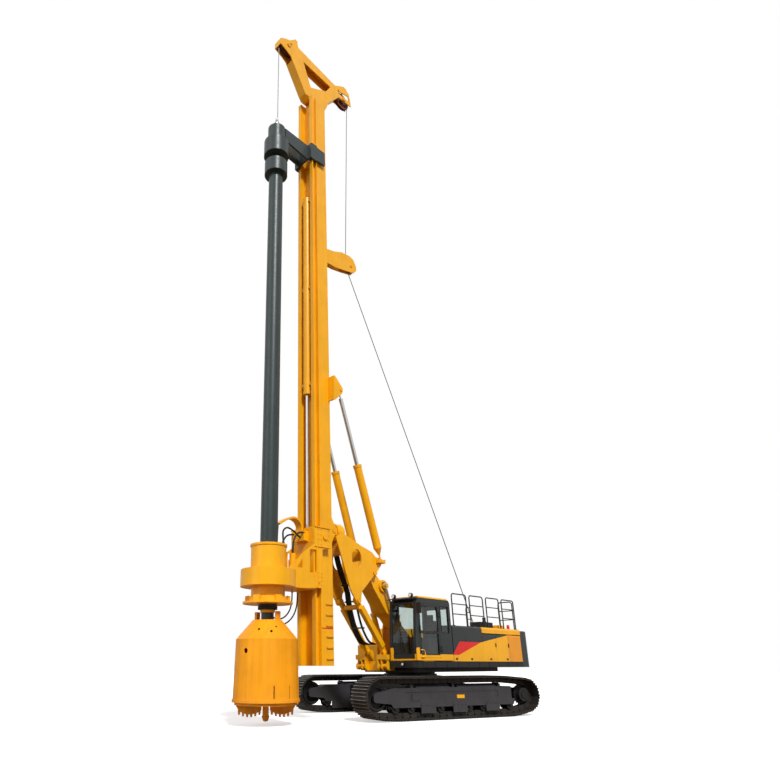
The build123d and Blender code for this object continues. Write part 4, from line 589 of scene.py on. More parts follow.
def lathe_arrays(profile, steps=48):
    """A closed (radius, height) profile turned about Z: x = r cos a, y = r sin a, z = h."""
    radii, heights = np.asarray(profile, float).T
    cos, sin = circle(steps)
    level = np.broadcast_to(heights, (steps, len(heights)))
    rings = np.stack([np.outer(cos, radii), np.outer(sin, radii), level], -1)
    return rings.reshape(-1, 3), skin_faces(steps, len(radii), closed=True)


print("a box has", len(box_arrays((0, 0, 0), (1, 1, 1))[1]), "faces")

# %% [markdown]
# ## Track shoes
#
# A track is a chain of links with a ribbed steel plate bolted on each. The solid model
# has the ribs in outline; here each shoe is its own plate, with a gap to the next, three
# ribs, eight bolts and two link cheeks. The chain's line is worked out once, as arcs
# round the wheels and straight runs between them, then every shoe is placed on it by one
# array operation.

# %% Belt line
PARKED = turn_z(math.radians(-16.0))
GAUGE_HALF = 1.95
SHOE_HALF = 0.40
PLATE, RIB = 0.026, 0.034
ROLLER_LINE = 0.305 - (PLATE + RIB)
# round what the shoes' inner face bends: (x, z, radius)
TRACK_WHEELS = np.array([
    (2.080, 0.305, ROLLER_LINE),
    (2.665, 0.590, 0.500),
    (-1.780, 0.830, 0.260),
    (-2.740, 0.590, 0.425),
    (-2.160, 0.305, ROLLER_LINE),
])
SHOE_PITCH, SHOE_GAP = 0.26, 0.012
RIB_PLACES, LINK_PLACES, BOLT_PLACES = (-0.095, 0.0, 0.095), (-0.075, 0.075), (-0.047, 0.047)


def belt_line(wheels, step=0.01):
    """A taut belt round wheels, as evenly spaced (x, z) points.

    Between two wheels the belt leaves at the angle of their centre line plus
    asin((r1 - r2) / distance); on a wheel it follows the arc from one angle to the next.
    """
    following = np.roll(wheels, -1, axis=0)
    reach = following[:, :2] - wheels[:, :2]
    angles = np.arctan2(reach[:, 1], reach[:, 0])
    angles += np.arcsin((wheels[:, 2] - following[:, 2]) / np.linalg.norm(reach, axis=1))
    pieces = []
    for (x, z, r), before, after in zip(wheels, np.roll(angles, 1), angles):
        bend = (after - before) % (2 * math.pi)
        a = before + np.linspace(0.0, bend, max(2, int(r * bend / step)))
        pieces.append(np.column_stack([x + r * np.sin(a), z - r * np.cos(a)]))
    loop = np.concatenate(pieces + [pieces[0][:1]])
    gaps = np.linalg.norm(np.diff(loop, axis=0), axis=1)
    place = np.concatenate([[0.0], np.cumsum(gaps)])
    return loop, place


# %% One shoe
def shoe_arrays(pitch):
    """One shoe, x along the track, z outwards: plate with three ribs, bolts and links."""
    edge = (pitch - SHOE_GAP) / 2
    ribs = [(middle + x, PLATE + z) for middle in RIB_PLACES
            for x, z in ((-0.024, 0.0), (-0.010, RIB), (0.010, RIB), (0.024, 0.0))]
    # the lip laps under the next shoe, so that no light shows between the two
    lip = [(edge, 0.0), (edge, 0.002), (edge + 0.030, 0.002), (edge + 0.030, 0.010)]
    outline = [(-edge, 0.0)] + lip + [(edge, PLATE / 2)] + ribs[::-1] + [(-edge, PLATE / 2)]
    link = [(-edge + 0.010, -0.135), (edge - 0.010, -0.135), (edge + 0.004, -0.055),
            (edge - 0.030, 0.0), (-edge + 0.030, 0.0), (-edge - 0.004, -0.055)]
    links = repeat(prism_arrays(link, 0.022), [(0.0, y, 0.0) for y in LINK_PLACES])
    bolt = box_arrays((-0.016, -0.016, PLATE), (0.016, 0.016, PLATE + 0.014))
    spots = [(x, y, 0.0) for x in BOLT_PLACES for y in (-0.09, -0.06, 0.06, 0.09)]
    return join_arrays([prism_arrays(outline, SHOE_HALF), links, repeat(bolt, spots)])


def wear_and_highlight_arrays(pitch):
    """Bright strips on the tops of one shoe's three ribs: worn bare steel, partly a painted
    highlight where light catches them.
    """
    top, half = PLATE + RIB, SHOE_HALF - 0.004
    strip = box_arrays((-0.009, -half, top - 0.002), (0.009, half, top + 0.001))
    return repeat(strip, [(middle, 0.0, 0.0) for middle in RIB_PLACES])


# %% Whole tracks
def track_arrays(side, unit):
    """One unit for every shoe of a track: each turned to the belt's slope, at its place."""
    loop, place = belt_line(TRACK_WHEELS)
    count = round(place[-1] / SHOE_PITCH)
    pitch = place[-1] / count
    middles = (np.arange(count) + 0.5) * pitch
    ends = [np.column_stack([np.interp((middles + shift) % place[-1], place, loop[:, k])
                             for k in (0, 1)]) for shift in (-pitch / 2, pitch / 2)]
    along = ends[1] - ends[0]
    along /= np.linalg.norm(along, axis=1)[:, None]
    # belt runs with its outside on the right hand: outward = (sin, -cos) of its slope
    turns = np.stack([at_side(along), np.tile([0.0, 1.0, 0.0], (count, 1)),
                      at_side(along[:, ::-1] * [1.0, -1.0])], -1)
    points, faces = repeat(unit(pitch), at_side((ends[0] + ends[1]) / 2), turns)
    return (points + [0.0, side * GAUGE_HALF, 0.0]) @ PARKED.T, flipped(faces)


SIDES = {"left": 1.0, "right": -1.0}
for name, side in SIDES.items():
    # each rib top gets a lighter strip: worn steel, partly a painted highlight where light catches
    # it
    track, rib_wear_and_highlight = track_arrays(side, shoe_arrays), track_arrays(side, wear_and_highlight_arrays)
    shoes = add_piece("shoes_" + name, track, "track_steel", "undercarriage")
    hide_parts("track_" + name)
    add_piece("shoe_wear_and_highlight_" + name, rib_wear_and_highlight, "worn_steel_and_highlight", "undercarriage")
    print("shoes", name, len(track[1]), "faces", [round(v, 3) for v in shoes.dimensions])

# %% [markdown]
# ## The hoist rope
#
# One steel rope runs from the winch, in front of the guide pulley, over both head
# sheaves and down to the swivel on the kelly. A taut rope is straight between wheels and
# round on them, so it is the belt's sum again, with a sign for the side of each wheel
# that it passes. It is cut into three pieces, because its middle keeps to the mast while
# the kelly draws one end down and the mast's rake moves the other.

# %% Wheels and straight runs
ROPE_R = 0.016
SHEAVE_LINE, PULLEY_LINE, DRUM_LINE = 0.362, 0.197, 0.316
WINCH, PULLEY = (-3.900, 2.450), (2.330, 15.860)
REAR_SHEAVE, FRONT_SHEAVE = (2.510, 24.340), (5.690, 24.770)
SWIVEL_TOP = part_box("rope_swivel")[1][2]
KELLY_X = 6.080
# what the rope passes, with its offset to the left of its own way: (x, z, offset)
ROPE_WHEELS = [
    WINCH + (DRUM_LINE,), PULLEY + (-PULLEY_LINE,), REAR_SHEAVE + (SHEAVE_LINE,),
    FRONT_SHEAVE + (SHEAVE_LINE,), (FRONT_SHEAVE[0] + SHEAVE_LINE, SWIVEL_TOP, 0.0),
]


def tangent_run(first, second):
    """The straight run between two wheels: both its ends and its direction.

    A line whose left normal is n touches them at centre + offset . n, which needs a
    slope of (centre line's angle) - asin((offset1 - offset2) / distance).
    """
    a, b = np.array(first[:2]), np.array(second[:2])
    reach = b - a
    slope = math.atan2(reach[1], reach[0])
    slope -= math.asin((first[2] - second[2]) / np.linalg.norm(reach))
    normal = np.array([-math.sin(slope), math.cos(slope)])
    return a + first[2] * normal, b + second[2] * normal, slope


runs = [tangent_run(a, b) for a, b in zip(ROPE_WHEELS[:-1], ROPE_WHEELS[1:])]


# %% Rope pieces
def wheel_arc(wheel, before, after):
    """The arc on a wheel between two slopes, as (x, z) points."""
    slopes = np.linspace(before, after, 24)
    return np.array(wheel[:2]) + wheel[2] * np.column_stack([-np.sin(slopes), np.cos(slopes)])


def rope_piece(name, flat, body=None):
    """A piece of rope on (x, z) points in the rig's middle plane."""
    return add_piece(name, tube_arrays(at_side(flat), ROPE_R, 8), "rope_steel", body, True)


rope_low = rope_piece("rope_from_winch", np.linspace(runs[0][0], runs[0][1], 60))
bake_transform(rope_low)
arcs = [wheel_arc(ROPE_WHEELS[k], runs[k - 1][2], runs[k][2]) for k in (1, 2, 3)]
rope_piece("rope_over_head", np.concatenate(arcs), "mast")
rope_front = rope_piece("rope_to_swivel", np.linspace(runs[3][0], runs[3][1], 30))
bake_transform(rope_front)
print("rope", round(sum(np.linalg.norm(run[1] - run[0]) for run in runs), 2), "m of straight runs")

# %% [markdown]
# ## Bolts
#
# A bolt head is a six-sided disc on a round washer. A plate looks built rather than
# moulded once its bolts are there, and what the eye checks is their spacing, so each
# group is placed by a rule: evenly round a circle, or evenly along a row. A turn matrix
# for each bolt carries its own up direction onto the face that it stands on.


# %% Bolts and their places
def facing(directions):
    """Turns that carry +Z onto each direction, by side = level x out and over = out x side."""
    out = np.asarray(directions, float)
    out = out / np.linalg.norm(out, axis=1)[:, None]
    level = np.where(np.abs(out[:, 2:]) > 0.9, [[1.0, 0.0, 0.0]], [[0.0, 0.0, 1.0]])
    side = np.cross(level, out)
    side /= np.linalg.norm(side, axis=1)[:, None]
    return np.stack([side, np.cross(out, side), out], -1)


def bolt_arrays(places, directions, size):
    """Bolts of this head radius at places, each on a washer and facing its direction."""
    head = disc_arrays(size, size * 0.24, size * 0.95)
    washer = disc_arrays(size * 1.4, -0.002, size * 0.25, 12)
    places = np.asarray(places, float)
    return repeat(join_arrays([head, washer]), places,
                  facing(np.broadcast_to(directions, places.shape)))


def on_circle(centre, radius, angles):
    """Places (x + r cos a, y + r sin a, z) round a vertical axis, from angles in degrees."""
    a = np.radians(np.asarray(angles, float))
    return np.column_stack([centre[0] + radius * np.cos(a), centre[1] + radius * np.sin(a),
                            np.full(len(a), centre[2])])


def in_grid(xs, ys, zs):
    """Every place of a grid of three short lists."""
    return np.stack(np.meshgrid(xs, ys, zs, indexing="ij"), -1).reshape(-1, 3)


# %% Groups of bolts
UP, FORWARD, LEFTWARD = (0.0, 0.0, 1.0), (1.0, 0.0, 0.0), (0.0, 1.0, 0.0)
CARRIAGE_SIDE, CARRIAGE_FRONT = 0.510, 4.770
left_bolts = np.concatenate([
    in_grid((4.50, 4.62), (CARRIAGE_SIDE,), np.linspace(3.62, 3.95, 4)),
    in_grid((4.20, 4.50, 4.62), (CARRIAGE_SIDE,), np.linspace(4.79, 5.23, 4)),
])
side_bolts = np.concatenate([left_bolts, left_bolts * [1.0, -1.0, 1.0]])
head_bolts = in_grid((CARRIAGE_FRONT,), np.linspace(-0.40, 0.40, 6), (4.86, 5.24))
# the casing blocks are 60 degrees apart, with a bolt 5.5 degrees to either side of each
block_angles = np.add.outer(np.arange(6) * 60 + 20, (-5.5, 5.5)).ravel()
# name: places, directions, head radius, body
BOLT_GROUPS = {
    "case_rim_bolts": (on_circle((KELLY_X, 0.0, 4.640), 0.455, np.arange(16) * 22.5), UP, 0.017,
                       "carriage"),
    "case_shoulder_bolts": (on_circle((KELLY_X, 0.0, 3.930), 0.700, np.arange(-102, 103, 12)), UP,
                            0.018, "carriage"),
    "carriage_side_bolts": (side_bolts, np.sign(side_bolts) * LEFTWARD, 0.018, "carriage"),
    "carriage_head_bolts": (head_bolts, FORWARD, 0.018, "carriage"),
    "casing_block_bolts": (on_circle((KELLY_X, 0.0, 3.220), 0.545, block_angles), UP, 0.018,
                           "drive_output"),
}
for name, (places, directions, size, body) in BOLT_GROUPS.items():
    add_piece(name, bolt_arrays(places, directions, size), "yellow", body)
    print(name, len(places), "bolts")

# %% [markdown]
# ## Keeper plates on the pins
#
# Each big pin is kept from turning and from sliding out by a round plate on its end,
# held by three bolts. The pins are solids already, so only the plates are added, on
# the body that each pin belongs to.

# %% Keeper plates
# body, (x, z), distance from the middle plane to the pin's end, plate radius
PIN_ENDS = [
    ("boom", (2.060, 4.200), 0.460, 0.085),
    ("boom", (0.800, 2.680), 0.286, 0.080),
    ("boom", (1.536, 3.834), 0.478, 0.062),
    ("rods", (2.860, 3.300), 0.460, 0.085),
    ("rods", (1.600, 1.780), 0.425, 0.080),
    ("luff_barrels", (0.780, 1.760), 0.509, 0.075),
    ("cross_seat", (3.735, 5.340), 0.322, 0.080),
    ("mast", (5.690, 24.770), 0.195, 0.085),
    ("mast", (2.510, 24.340), 0.195, 0.085),
    ("mast", (2.330, 15.860), 0.110, 0.060),
]
KEEPER = 0.014
keepers = {}
for body, (x, z), end, radius in PIN_ENDS:
    for side in SIDES.values():
        middle, turn = [x, side * end, z], facing([(0.0, side, 0.0)])[0]
        plate = moved(disc_arrays(radius, -0.001, KEEPER, 24), middle, turn)
        spots = on_circle((0.0, 0.0, KEEPER), radius * 0.6, (90, 210, 330)) @ turn.T + middle
        bolts = bolt_arrays(spots, (0.0, side, 0.0), 0.014)
        keepers.setdefault(body, []).extend([plate, bolts])
for body, parts in keepers.items():
    add_piece("keepers_" + body, join_arrays(parts), "yellow", body)
print("keeper plates", 2 * len(PIN_ENDS))

# %% [markdown]
# ## Fittings of the track frames
#
# A track frame carries guides that keep the chain on its rollers, a cover over the
# grease point of the chain's tensioner, and rows of bolts. They are set out in the
# track's own frame, where the track runs along X, then turned with the parked tracks.

# %% Track fittings
FRAME_SIDE = 0.215
GUIDE_LENGTH, GUIDE_HEIGHT, GUIDE_THICK, GUIDE_LOW = 0.52, 0.25, 0.018, 0.170
RIDGE = [(-0.195, 0.838), (0.195, 0.838), (0.085, 0.928), (-0.085, 0.928)]


def track_side():
    """The left track frame's guides, covers and bolts: (dark arrays, plate arrays)."""
    out, inner = GAUGE_HALF + FRAME_SIDE, GAUGE_HALF - FRAME_SIDE
    dark = []
    for middle in (1.00, -0.15, -1.40):
        rear, front = middle - GUIDE_LENGTH / 2, middle + GUIDE_LENGTH / 2
        dark.append(box_arrays((rear, out - 0.001, GUIDE_LOW),
                               (front, out + GUIDE_THICK, GUIDE_LOW + GUIDE_HEIGHT)))
        spots = in_grid(np.linspace(rear + 0.06, front - 0.06, 4), (out + GUIDE_THICK,), (0.375,))
        dark.append(bolt_arrays(spots, LEFTWARD, 0.016))
    # a row of bolts, the cover of the tensioner's grease point, and the final drive's cap
    row = in_grid(np.linspace(-2.02, 2.02, 10), (out,), (0.790,))
    corners = in_grid((1.31, 1.53), (out + 0.012,), (0.53, 0.66))
    cap = on_circle((0.0, 0.0, 0.0), 0.175, np.arange(12) * 30.0) @ facing([LEFTWARD])[0].T
    dark.append(bolt_arrays(row, LEFTWARD, 0.015))
    dark.append(box_arrays((1.28, out - 0.001, 0.500), (1.56, out + 0.012, 0.690)))
    dark.append(bolt_arrays(corners, LEFTWARD, 0.012))
    dark.append(bolt_arrays(cap + [-2.74, out - 0.025, 0.590], LEFTWARD, 0.014))
    # roof-shaped ridges that shed soil between the carrier rollers
    for rear, front in ((-1.62, -0.14), (0.14, 1.36)):
        ridge = prism_arrays(RIDGE, (front - rear) / 2)
        dark.append(moved(ridge, [(front + rear) / 2, GAUGE_HALF, 0.0], turn_z(-math.pi / 2)))
    # full-length guard beside the rollers on the inner side
    dark.append(box_arrays((-2.06, inner - 0.012, 0.115), (1.98, inner + 0.001, 0.430)))
    plate = box_arrays((-0.355, out - 0.016, 0.490), (-0.075, out - 0.009, 0.635))
    return join_arrays(dark), plate


# %% Both track frames
def parked(arrays, side):
    """Arrays of the left track, mirrored for the right one, turned as the tracks stand."""
    points, faces = arrays
    return (points * [1.0, side, 1.0]) @ PARKED.T, faces if side > 0 else flipped(faces)


for name, side in SIDES.items():
    dark, plate = track_side()
    add_piece("track_fittings_" + name, parked(dark, side), "track_frame", "undercarriage")
    add_piece("track_plate_" + name, parked(plate, side), "yellow", "undercarriage")
    print("track fittings", name, len(dark[1]), "faces")

# %% [markdown]
# ## The kelly's foot
#
# Below the turning sleeve the kelly ends in a black stop ring, a short yellow neck and
# a bare stub that drops into the bucket's box. Ring and neck are profiles turned on a
# lathe, round the bar that is already there.

# %% Ring and neck
STOP_RING = [(0.180, 2.868), (0.262, 2.868), (0.268, 2.880), (0.268, 2.950), (0.255, 2.965),
             (0.180, 2.965)]
NECK = [(0.165, 2.790), (0.192, 2.790), (0.200, 2.800), (0.200, 2.858), (0.192, 2.868),
        (0.165, 2.868)]
for name, profile, finish in (("stop_ring", STOP_RING, "rubber"), ("neck", NECK, "yellow")):
    turned = moved(lathe_arrays(profile), [KELLY_X, 0.0, 0.0])
    add_piece("kelly_" + name, turned, finish, "kelly", True)
print("kelly ring", STOP_RING[2][0] * 2, "m across")

# %% [markdown]
# ## Arch and pipes above the drive
#
# Over the drive's motors an arched guide carries the oil lines from the carriage
# towards the kelly. A curved guide is a flat section carried along a smooth line, and
# the line is a Catmull-Rom curve: it passes through every point it is given, so a few
# points listed where the guide is are enough.


# %% Smooth lines and bands
def smooth_line(points, steps=8):
    """Catmull-Rom: (2b + (c-a)t + (2a-5b+4c-d)t^2 + (3b-a-3c+d)t^3) / 2 for each four points."""
    p = np.asarray(points, float)
    p = np.concatenate([[2 * p[0] - p[1]], p, [2 * p[-1] - p[-2]]])
    a, b, c, d = p[:-3, None], p[1:-2, None], p[2:-1, None], p[3:, None]
    t = np.linspace(0.0, 1.0, steps, endpoint=False)[None, :, None]
    line = 0.5 * (2 * b + (c - a) * t + (2 * a - 5 * b + 4 * c - d) * t ** 2
                  + (3 * b - a - 3 * c + d) * t ** 3)
    return np.concatenate([line.reshape(-1, p.shape[1]), p[-2:-1]])


def band_arrays(path, half_width, thickness):
    """A flat band on a path in the X-Z plane: four corners per point, ends closed.

    Corner = point + u thickness/2 (slope's normal) + v half_width (Y), u and v being -1 or 1.
    """
    along = np.gradient(path, axis=0)
    along /= np.linalg.norm(along, axis=1)[:, None]
    normal = at_side(along[:, [2, 0]] * [-1.0, 1.0])
    rings = np.stack([path + u * normal * thickness / 2 + [0.0, v * half_width, 0.0]
                      for u, v in ((-1, -1), (1, -1), (1, 1), (-1, 1))], 1)
    return rings.reshape(-1, 3), skin_faces(len(path), 4)


# %% Arch and pipes
ARCH = [(4.860, 5.200), (4.880, 5.380), (5.000, 5.520), (5.200, 5.560), (5.450, 5.470),
        (5.740, 5.290)]
arch_line = smooth_line(at_side(ARCH, -0.05), 10)
add_piece("line_arch", band_arrays(arch_line, 0.13, 0.055), "yellow", "carriage", True)
# oil pipes: from the arch's foot and end down to the motors and the case
MOTOR_PIPE = np.array([(4.77, 0.20, 5.12), (4.95, 0.21, 5.12), (5.20, 0.24, 5.05),
                       (5.36, 0.25, 4.80), (5.39, 0.25, 4.45)])
PIPES = [
    MOTOR_PIPE,
    MOTOR_PIPE * [1.0, -1.0, 1.0],
    [(4.77, 0.08, 4.98), (4.98, 0.09, 5.00), (5.24, 0.11, 5.14), (5.50, 0.13, 5.20),
     (5.68, 0.16, 5.08), (5.72, 0.20, 4.85), (5.71, 0.24, 4.64)],
    [(5.71, -0.05, 5.27), (5.70, -0.08, 5.10), (5.66, -0.14, 4.85), (5.64, -0.18, 4.64)],
]
pipes = [tube_arrays(smooth_line(pipe), 0.026, 10) for pipe in PIPES]
add_piece("oil_pipes", join_arrays(pipes), "rubber", "carriage", True)
length = np.linalg.norm(np.diff(arch_line, axis=0), axis=1).sum()
print("arch", round(float(length), 2), "m along")

# %% [markdown]
# ## Oil lines along the support rods
#
# A bundle of thick black lines climbs from the deck to the mast between the support
# rods. It is clamped all the way, so it is not a free cord: its lower stretch keeps to
# the rods and its upper one to the triangle, and they meet beside the pin that joins
# the two, where the angle between them changes least.

# %% Oil lines
LOWER_LINE = [(1.90, 2.06), (2.15, 2.15), (2.42, 2.52), (2.60, 3.00), (2.66, 3.30), (2.70, 3.56)]
UPPER_LINE = [(2.70, 3.56), (2.80, 3.80), (2.95, 4.10), (3.08, 4.42), (3.18, 4.74)]
LINE_R, LINE_SPOTS = 0.034, (-0.245, -0.170, -0.095, 0.150)


def line_bundle(points):
    """The same smooth line, set side by side at each of the bundle's places across."""
    flat = smooth_line(points)
    return join_arrays([tube_arrays(at_side(flat, y), LINE_R, 12) for y in LINE_SPOTS])


def clamp_arrays(places):
    """A bar across the bundle at each (x, z) place."""
    bar = box_arrays((-0.045, LINE_SPOTS[0] - 0.06, -0.02), (0.045, LINE_SPOTS[-1] + 0.06, 0.02))
    return repeat(bar, at_side(places))


# piece, body, line and which of its points have a clamp
BUNDLES = [("rod_line", "rods", LOWER_LINE, (0, 2, 4)),
           ("triangle_line", "triangle", UPPER_LINE, (1, 4))]
for name, body, line, clamped in BUNDLES:
    add_piece(name + "s", line_bundle(line), "rubber", body, True)
    add_piece(name + "_clamps", clamp_arrays([line[k] for k in clamped]), "black", body)
print("lines", len(LINE_SPOTS), "side by side")

# %% [markdown]
# ## Rungs and a stripe on the mast
#
# Welded rungs climb the left side of the mast beside the carriage's travel, and a red
# stripe marks how deep the mast's foot may stand. Each rung is a bar on two short legs,
# repeated every 30 cm.

# %% Rungs and stripe
MAST_SIDE, RUNG_REAR, RUNG_FRONT = 0.330, 3.905, 4.165
RUNG_OUT = 0.052


def rung_arrays():
    """A bar along X that stands clear of the plate on two legs, at height zero."""
    bar = box_arrays((RUNG_REAR, RUNG_OUT - 0.022, -0.011), (RUNG_FRONT, RUNG_OUT, 0.011))
    legs = [box_arrays((x - 0.011, -0.001, -0.011), (x + 0.011, RUNG_OUT - 0.021, 0.011))
            for x in (RUNG_REAR + 0.011, RUNG_FRONT - 0.011)]
    return join_arrays([bar] + legs)


rung_places = [(0.0, MAST_SIDE, z) for z in np.arange(1.62, 3.35, 0.30)]
add_piece("mast_rungs", repeat(rung_arrays(), rung_places), "yellow", "mast")
stripe = box_arrays((3.870, MAST_SIDE - 0.001, 2.425), (4.395, MAST_SIDE + 0.003, 2.457))
add_piece("mast_stripe", stripe, "red", "mast")
print("rungs", len(rung_places))

# %% [markdown]
# ## The turntable deck
#
# The deck ends at the tank on the right, reaches forward in the middle under the boom's
# feet, and carries the cab on the left. Under it lies the centre box, which runs back
# over most of the length. It is a plan outline with a height, ribbed along its sides.

# %% Deck
DECK_LOW, DECK_FLOOR, DECK_SIDE = 1.380, 1.560, 1.680
CENTRE_LOW = 1.242
DECK_PLAN = [(-4.300, -DECK_SIDE), (0.580, -DECK_SIDE), (0.660, -1.600), (0.660, -0.960),
             (0.740, -0.880), (1.500, -0.880), (1.500, 0.660), (1.790, 0.660), (1.790, 1.520),
             (1.730, DECK_SIDE), (-4.300, DECK_SIDE)]
CENTRE_PLAN = [(-3.460, -1.150), (1.300, -0.800), (1.300, 1.150), (-3.460, 1.150)]
COLLAR = [(0.640, 1.204), (0.800, 1.204), (0.800, CENTRE_LOW), (0.640, CENTRE_LOW)]
# side walls, a shadow line that stands a little back, the floor plate, the centre box, the collar
deck_parts = [
    slab_arrays(DECK_PLAN, DECK_LOW, DECK_FLOOR - 0.020),
    slab_arrays(np.array(DECK_PLAN) * [0.998, 0.990], DECK_FLOOR - 0.022, DECK_FLOOR - 0.010),
    slab_arrays(DECK_PLAN, DECK_FLOOR - 0.012, DECK_FLOOR),
    slab_arrays(CENTRE_PLAN, CENTRE_LOW, DECK_LOW + 0.001),
    lathe_arrays(COLLAR),
]
RIB_HALF, RIB_PROUD = 0.008, 1.004
for x in np.arange(-3.9, 1.5, 0.6):
    for y in (-DECK_SIDE, DECK_SIDE):
        if y > 0 or x < 0.5:
            near, far = sorted((y, y * RIB_PROUD))
            deck_parts.append(box_arrays((x - RIB_HALF, near, DECK_LOW + 0.002),
                                         (x + RIB_HALF, far, DECK_FLOOR - 0.024)))
deck = add_piece("deck_body", join_arrays(deck_parts), "black")
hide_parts("deck")
print("deck", [round(v, 2) for v in deck.dimensions])

# %% [markdown]
# ## The cab's fittings
#
# A cab is read from its small things: the dark rubber round each pane, a mirror on its
# arm, a wiper, a grab handle, and levers and a screen inside. Frames of rubber are made
# as four bars round an opening, and bent handles as tubes on smooth lines.


# %% Seals
def seal_arrays(x, z, y, width=0.020, proud=0.006):
    """Four bars round an opening in a side wall: x and z are (low, high), y is the skin."""
    (x0, x1), (z0, z1) = x, z
    bars = [(x0 - width, z0 - width, x1 + width, z0), (x0 - width, z1, x1 + width, z1 + width),
            (x0 - width, z0, x0, z1), (x1, z0, x1 + width, z1)]
    return join_arrays([box_arrays((a, y - 0.002, b), (c, y + proud, d)) for a, b, c, d in bars])


CAB_SKIN = 1.680
DOOR_PANE, DOOR_PANES = (0.640, 1.520), [(1.755, 2.340), (2.410, 3.135)]
door_seals = [seal_arrays(DOOR_PANE, z, CAB_SKIN) for z in DOOR_PANES]
add_piece("door_seals", join_arrays(door_seals), "rubber", "door")
add_piece("quarter_seal", seal_arrays((0.060, 0.450), (2.400, 3.170), CAB_SKIN), "rubber")

# %% Posts and grab handle
# the yellow post at the cab's front corner, and the grab handle on the door beside it
POST = [(1.655, 1.583), (1.792, 1.583), (1.792, 1.880), (1.770, 1.935), (1.655, 1.935)]
post = moved(prism_arrays(POST, 0.013), [0.0, CAB_SKIN + 0.012, 0.0])
add_piece("cab_corner_post", post, "yellow")
add_piece("cab_front_post", box_arrays((1.760, 0.712, 1.583), (1.800, 0.800, 1.940)), "yellow")
grab = smooth_line([(1.575, 1.676, 1.870), (1.570, 1.712, 1.872), (1.500, 1.722, 1.872),
                    (1.435, 1.722, 1.835), (1.425, 1.722, 1.770), (1.440, 1.722, 1.710),
                    (1.500, 1.722, 1.675), (1.570, 1.712, 1.675), (1.575, 1.676, 1.677)], 6)
add_piece("door_grab", tube_arrays(grab, 0.014, 10), "yellow", "door", True)

# %% Mirror
# mirror on a bent arm ahead of the door's swing
arm = smooth_line([(1.660, 1.655, 3.300), (1.700, 1.740, 3.310), (1.730, 1.800, 3.280),
                   (1.735, 1.815, 3.210)], 6)
mirror = [tube_arrays(arm, 0.011, 8), box_arrays((1.705, 1.735, 2.900), (1.745, 1.895, 3.210))]
add_piece("cab_mirror", join_arrays(mirror), "black", smooth=True)
mirror_face = box_arrays((1.699, 1.748, 2.915), (1.7055, 1.882, 3.195))
add_piece("cab_mirror_face", mirror_face, "mirror_glass")


# %% Wiper
def screen_x(z):
    """Where the windscreen's outer face is at this height: straight lines through its knees."""
    return float(np.interp(z, (1.580, 2.080, 3.250, 3.380), (1.765, 1.790, 1.686, 1.550)))


# (y, z) points of each bar, how far it stands off the screen, its radius
WIPER = [(((1.18, 1.80), (1.12, 2.10), (1.05, 2.45)), 0.016, 0.009),
         (((1.03, 2.05), (1.06, 2.45), (1.09, 2.90)), 0.012, 0.007)]
wipers = [tube_arrays([(screen_x(z) + off, y, z) for y, z in bar], r, 6) for bar, off, r in WIPER]
add_piece("cab_wiper", join_arrays(wipers), "black")

# %% Controls
# inside: two levers, a screen on its stalk, the headrest and two pedal levers
inside = [tube_arrays([(0.86, y, 2.20), (0.90, y, 2.42), (0.91, y, 2.52)], 0.020, 8)
          for y in (0.86, 1.50)]
inside += [box_arrays((1.40, 0.86, 2.20), (1.44, 1.06, 2.42)),
           tube_arrays([(1.42, 0.96, 1.64), (1.42, 0.96, 2.22)], 0.022, 8),
           box_arrays((0.34, 1.05, 2.76), (0.42, 1.31, 2.94))]
inside += [tube_arrays([(1.25, y, 1.64), (1.30, y, 1.80), (1.26, y, 2.05)], 0.016, 8)
           for y in (1.10, 1.26)]
add_piece("cab_controls", join_arrays(inside), "seat_trim", smooth=True)

# %% Lamp lenses
# lenses of the two work lamps on the visor and of the deck lamp
LENSES = [((1.730, 0.850, 3.455), 0.050), ((1.730, 1.510, 3.455), 0.050),
          ((1.850, 1.180, 1.475), 0.034)]
ahead = facing([FORWARD])[0]
lenses = [moved(disc_arrays(r, -0.001, 0.006, 24), place, ahead) for place, r in LENSES]
add_piece("lamp_lenses", join_arrays(lenses), "lamp")
print("cab fittings done")

# %% [markdown]
# ## Fittings of the house
#
# The house's doors need latches, its left side a grab hoop by the step and a guard across
# the tail, its rails feet, and its far side the louvres that cool the engine. The beacon
# stands at the back, where it is seen from all round.

# %% Latches
HOUSE_SIDE, HOUSE_TOP = 1.680, 2.640
# (x, half length), (low, high), how far they stand out
LATCHES = [((-0.240, -1.085, -2.230, -3.280), 0.045, (1.605, 1.660), 0.014),
           ((-2.600, -3.430), 0.020, (2.020, 2.140), 0.020)]
latches = [box_arrays((x - half, HOUSE_SIDE - 0.001, low), (x + half, HOUSE_SIDE + proud, high))
           for xs, half, (low, high), proud in LATCHES for x in xs]
add_piece("house_latches", join_arrays(latches), "black")


# %% Hoops
def hoop_arrays(foot_a, foot_b, height, bars, radius=0.021, bend=0.10):
    """A tube up from foot_a, over and down to foot_b, with level bars at shares of its height."""
    a, b = np.array(foot_a, float), np.array(foot_b, float)
    over = (b - a) / np.linalg.norm(b - a)
    top = np.array([0.0, 0.0, height])
    knee = top - [0.0, 0.0, bend]
    quarter = np.linspace(0.0, math.pi / 2, 6)[:, None]
    rise = a + knee + bend * ((1 - np.cos(quarter)) * over + np.sin(quarter) * UP)
    fall = b + knee + bend * (-(1 - np.sin(quarter)) * over + np.cos(quarter) * UP)
    hoop = tube_arrays(np.concatenate([[a], rise, fall, [b]]), radius, 10)
    levels = [tube_arrays([a + top * share, b + top * share], radius * 0.8, 8) for share in bars]
    return join_arrays([hoop] + levels)


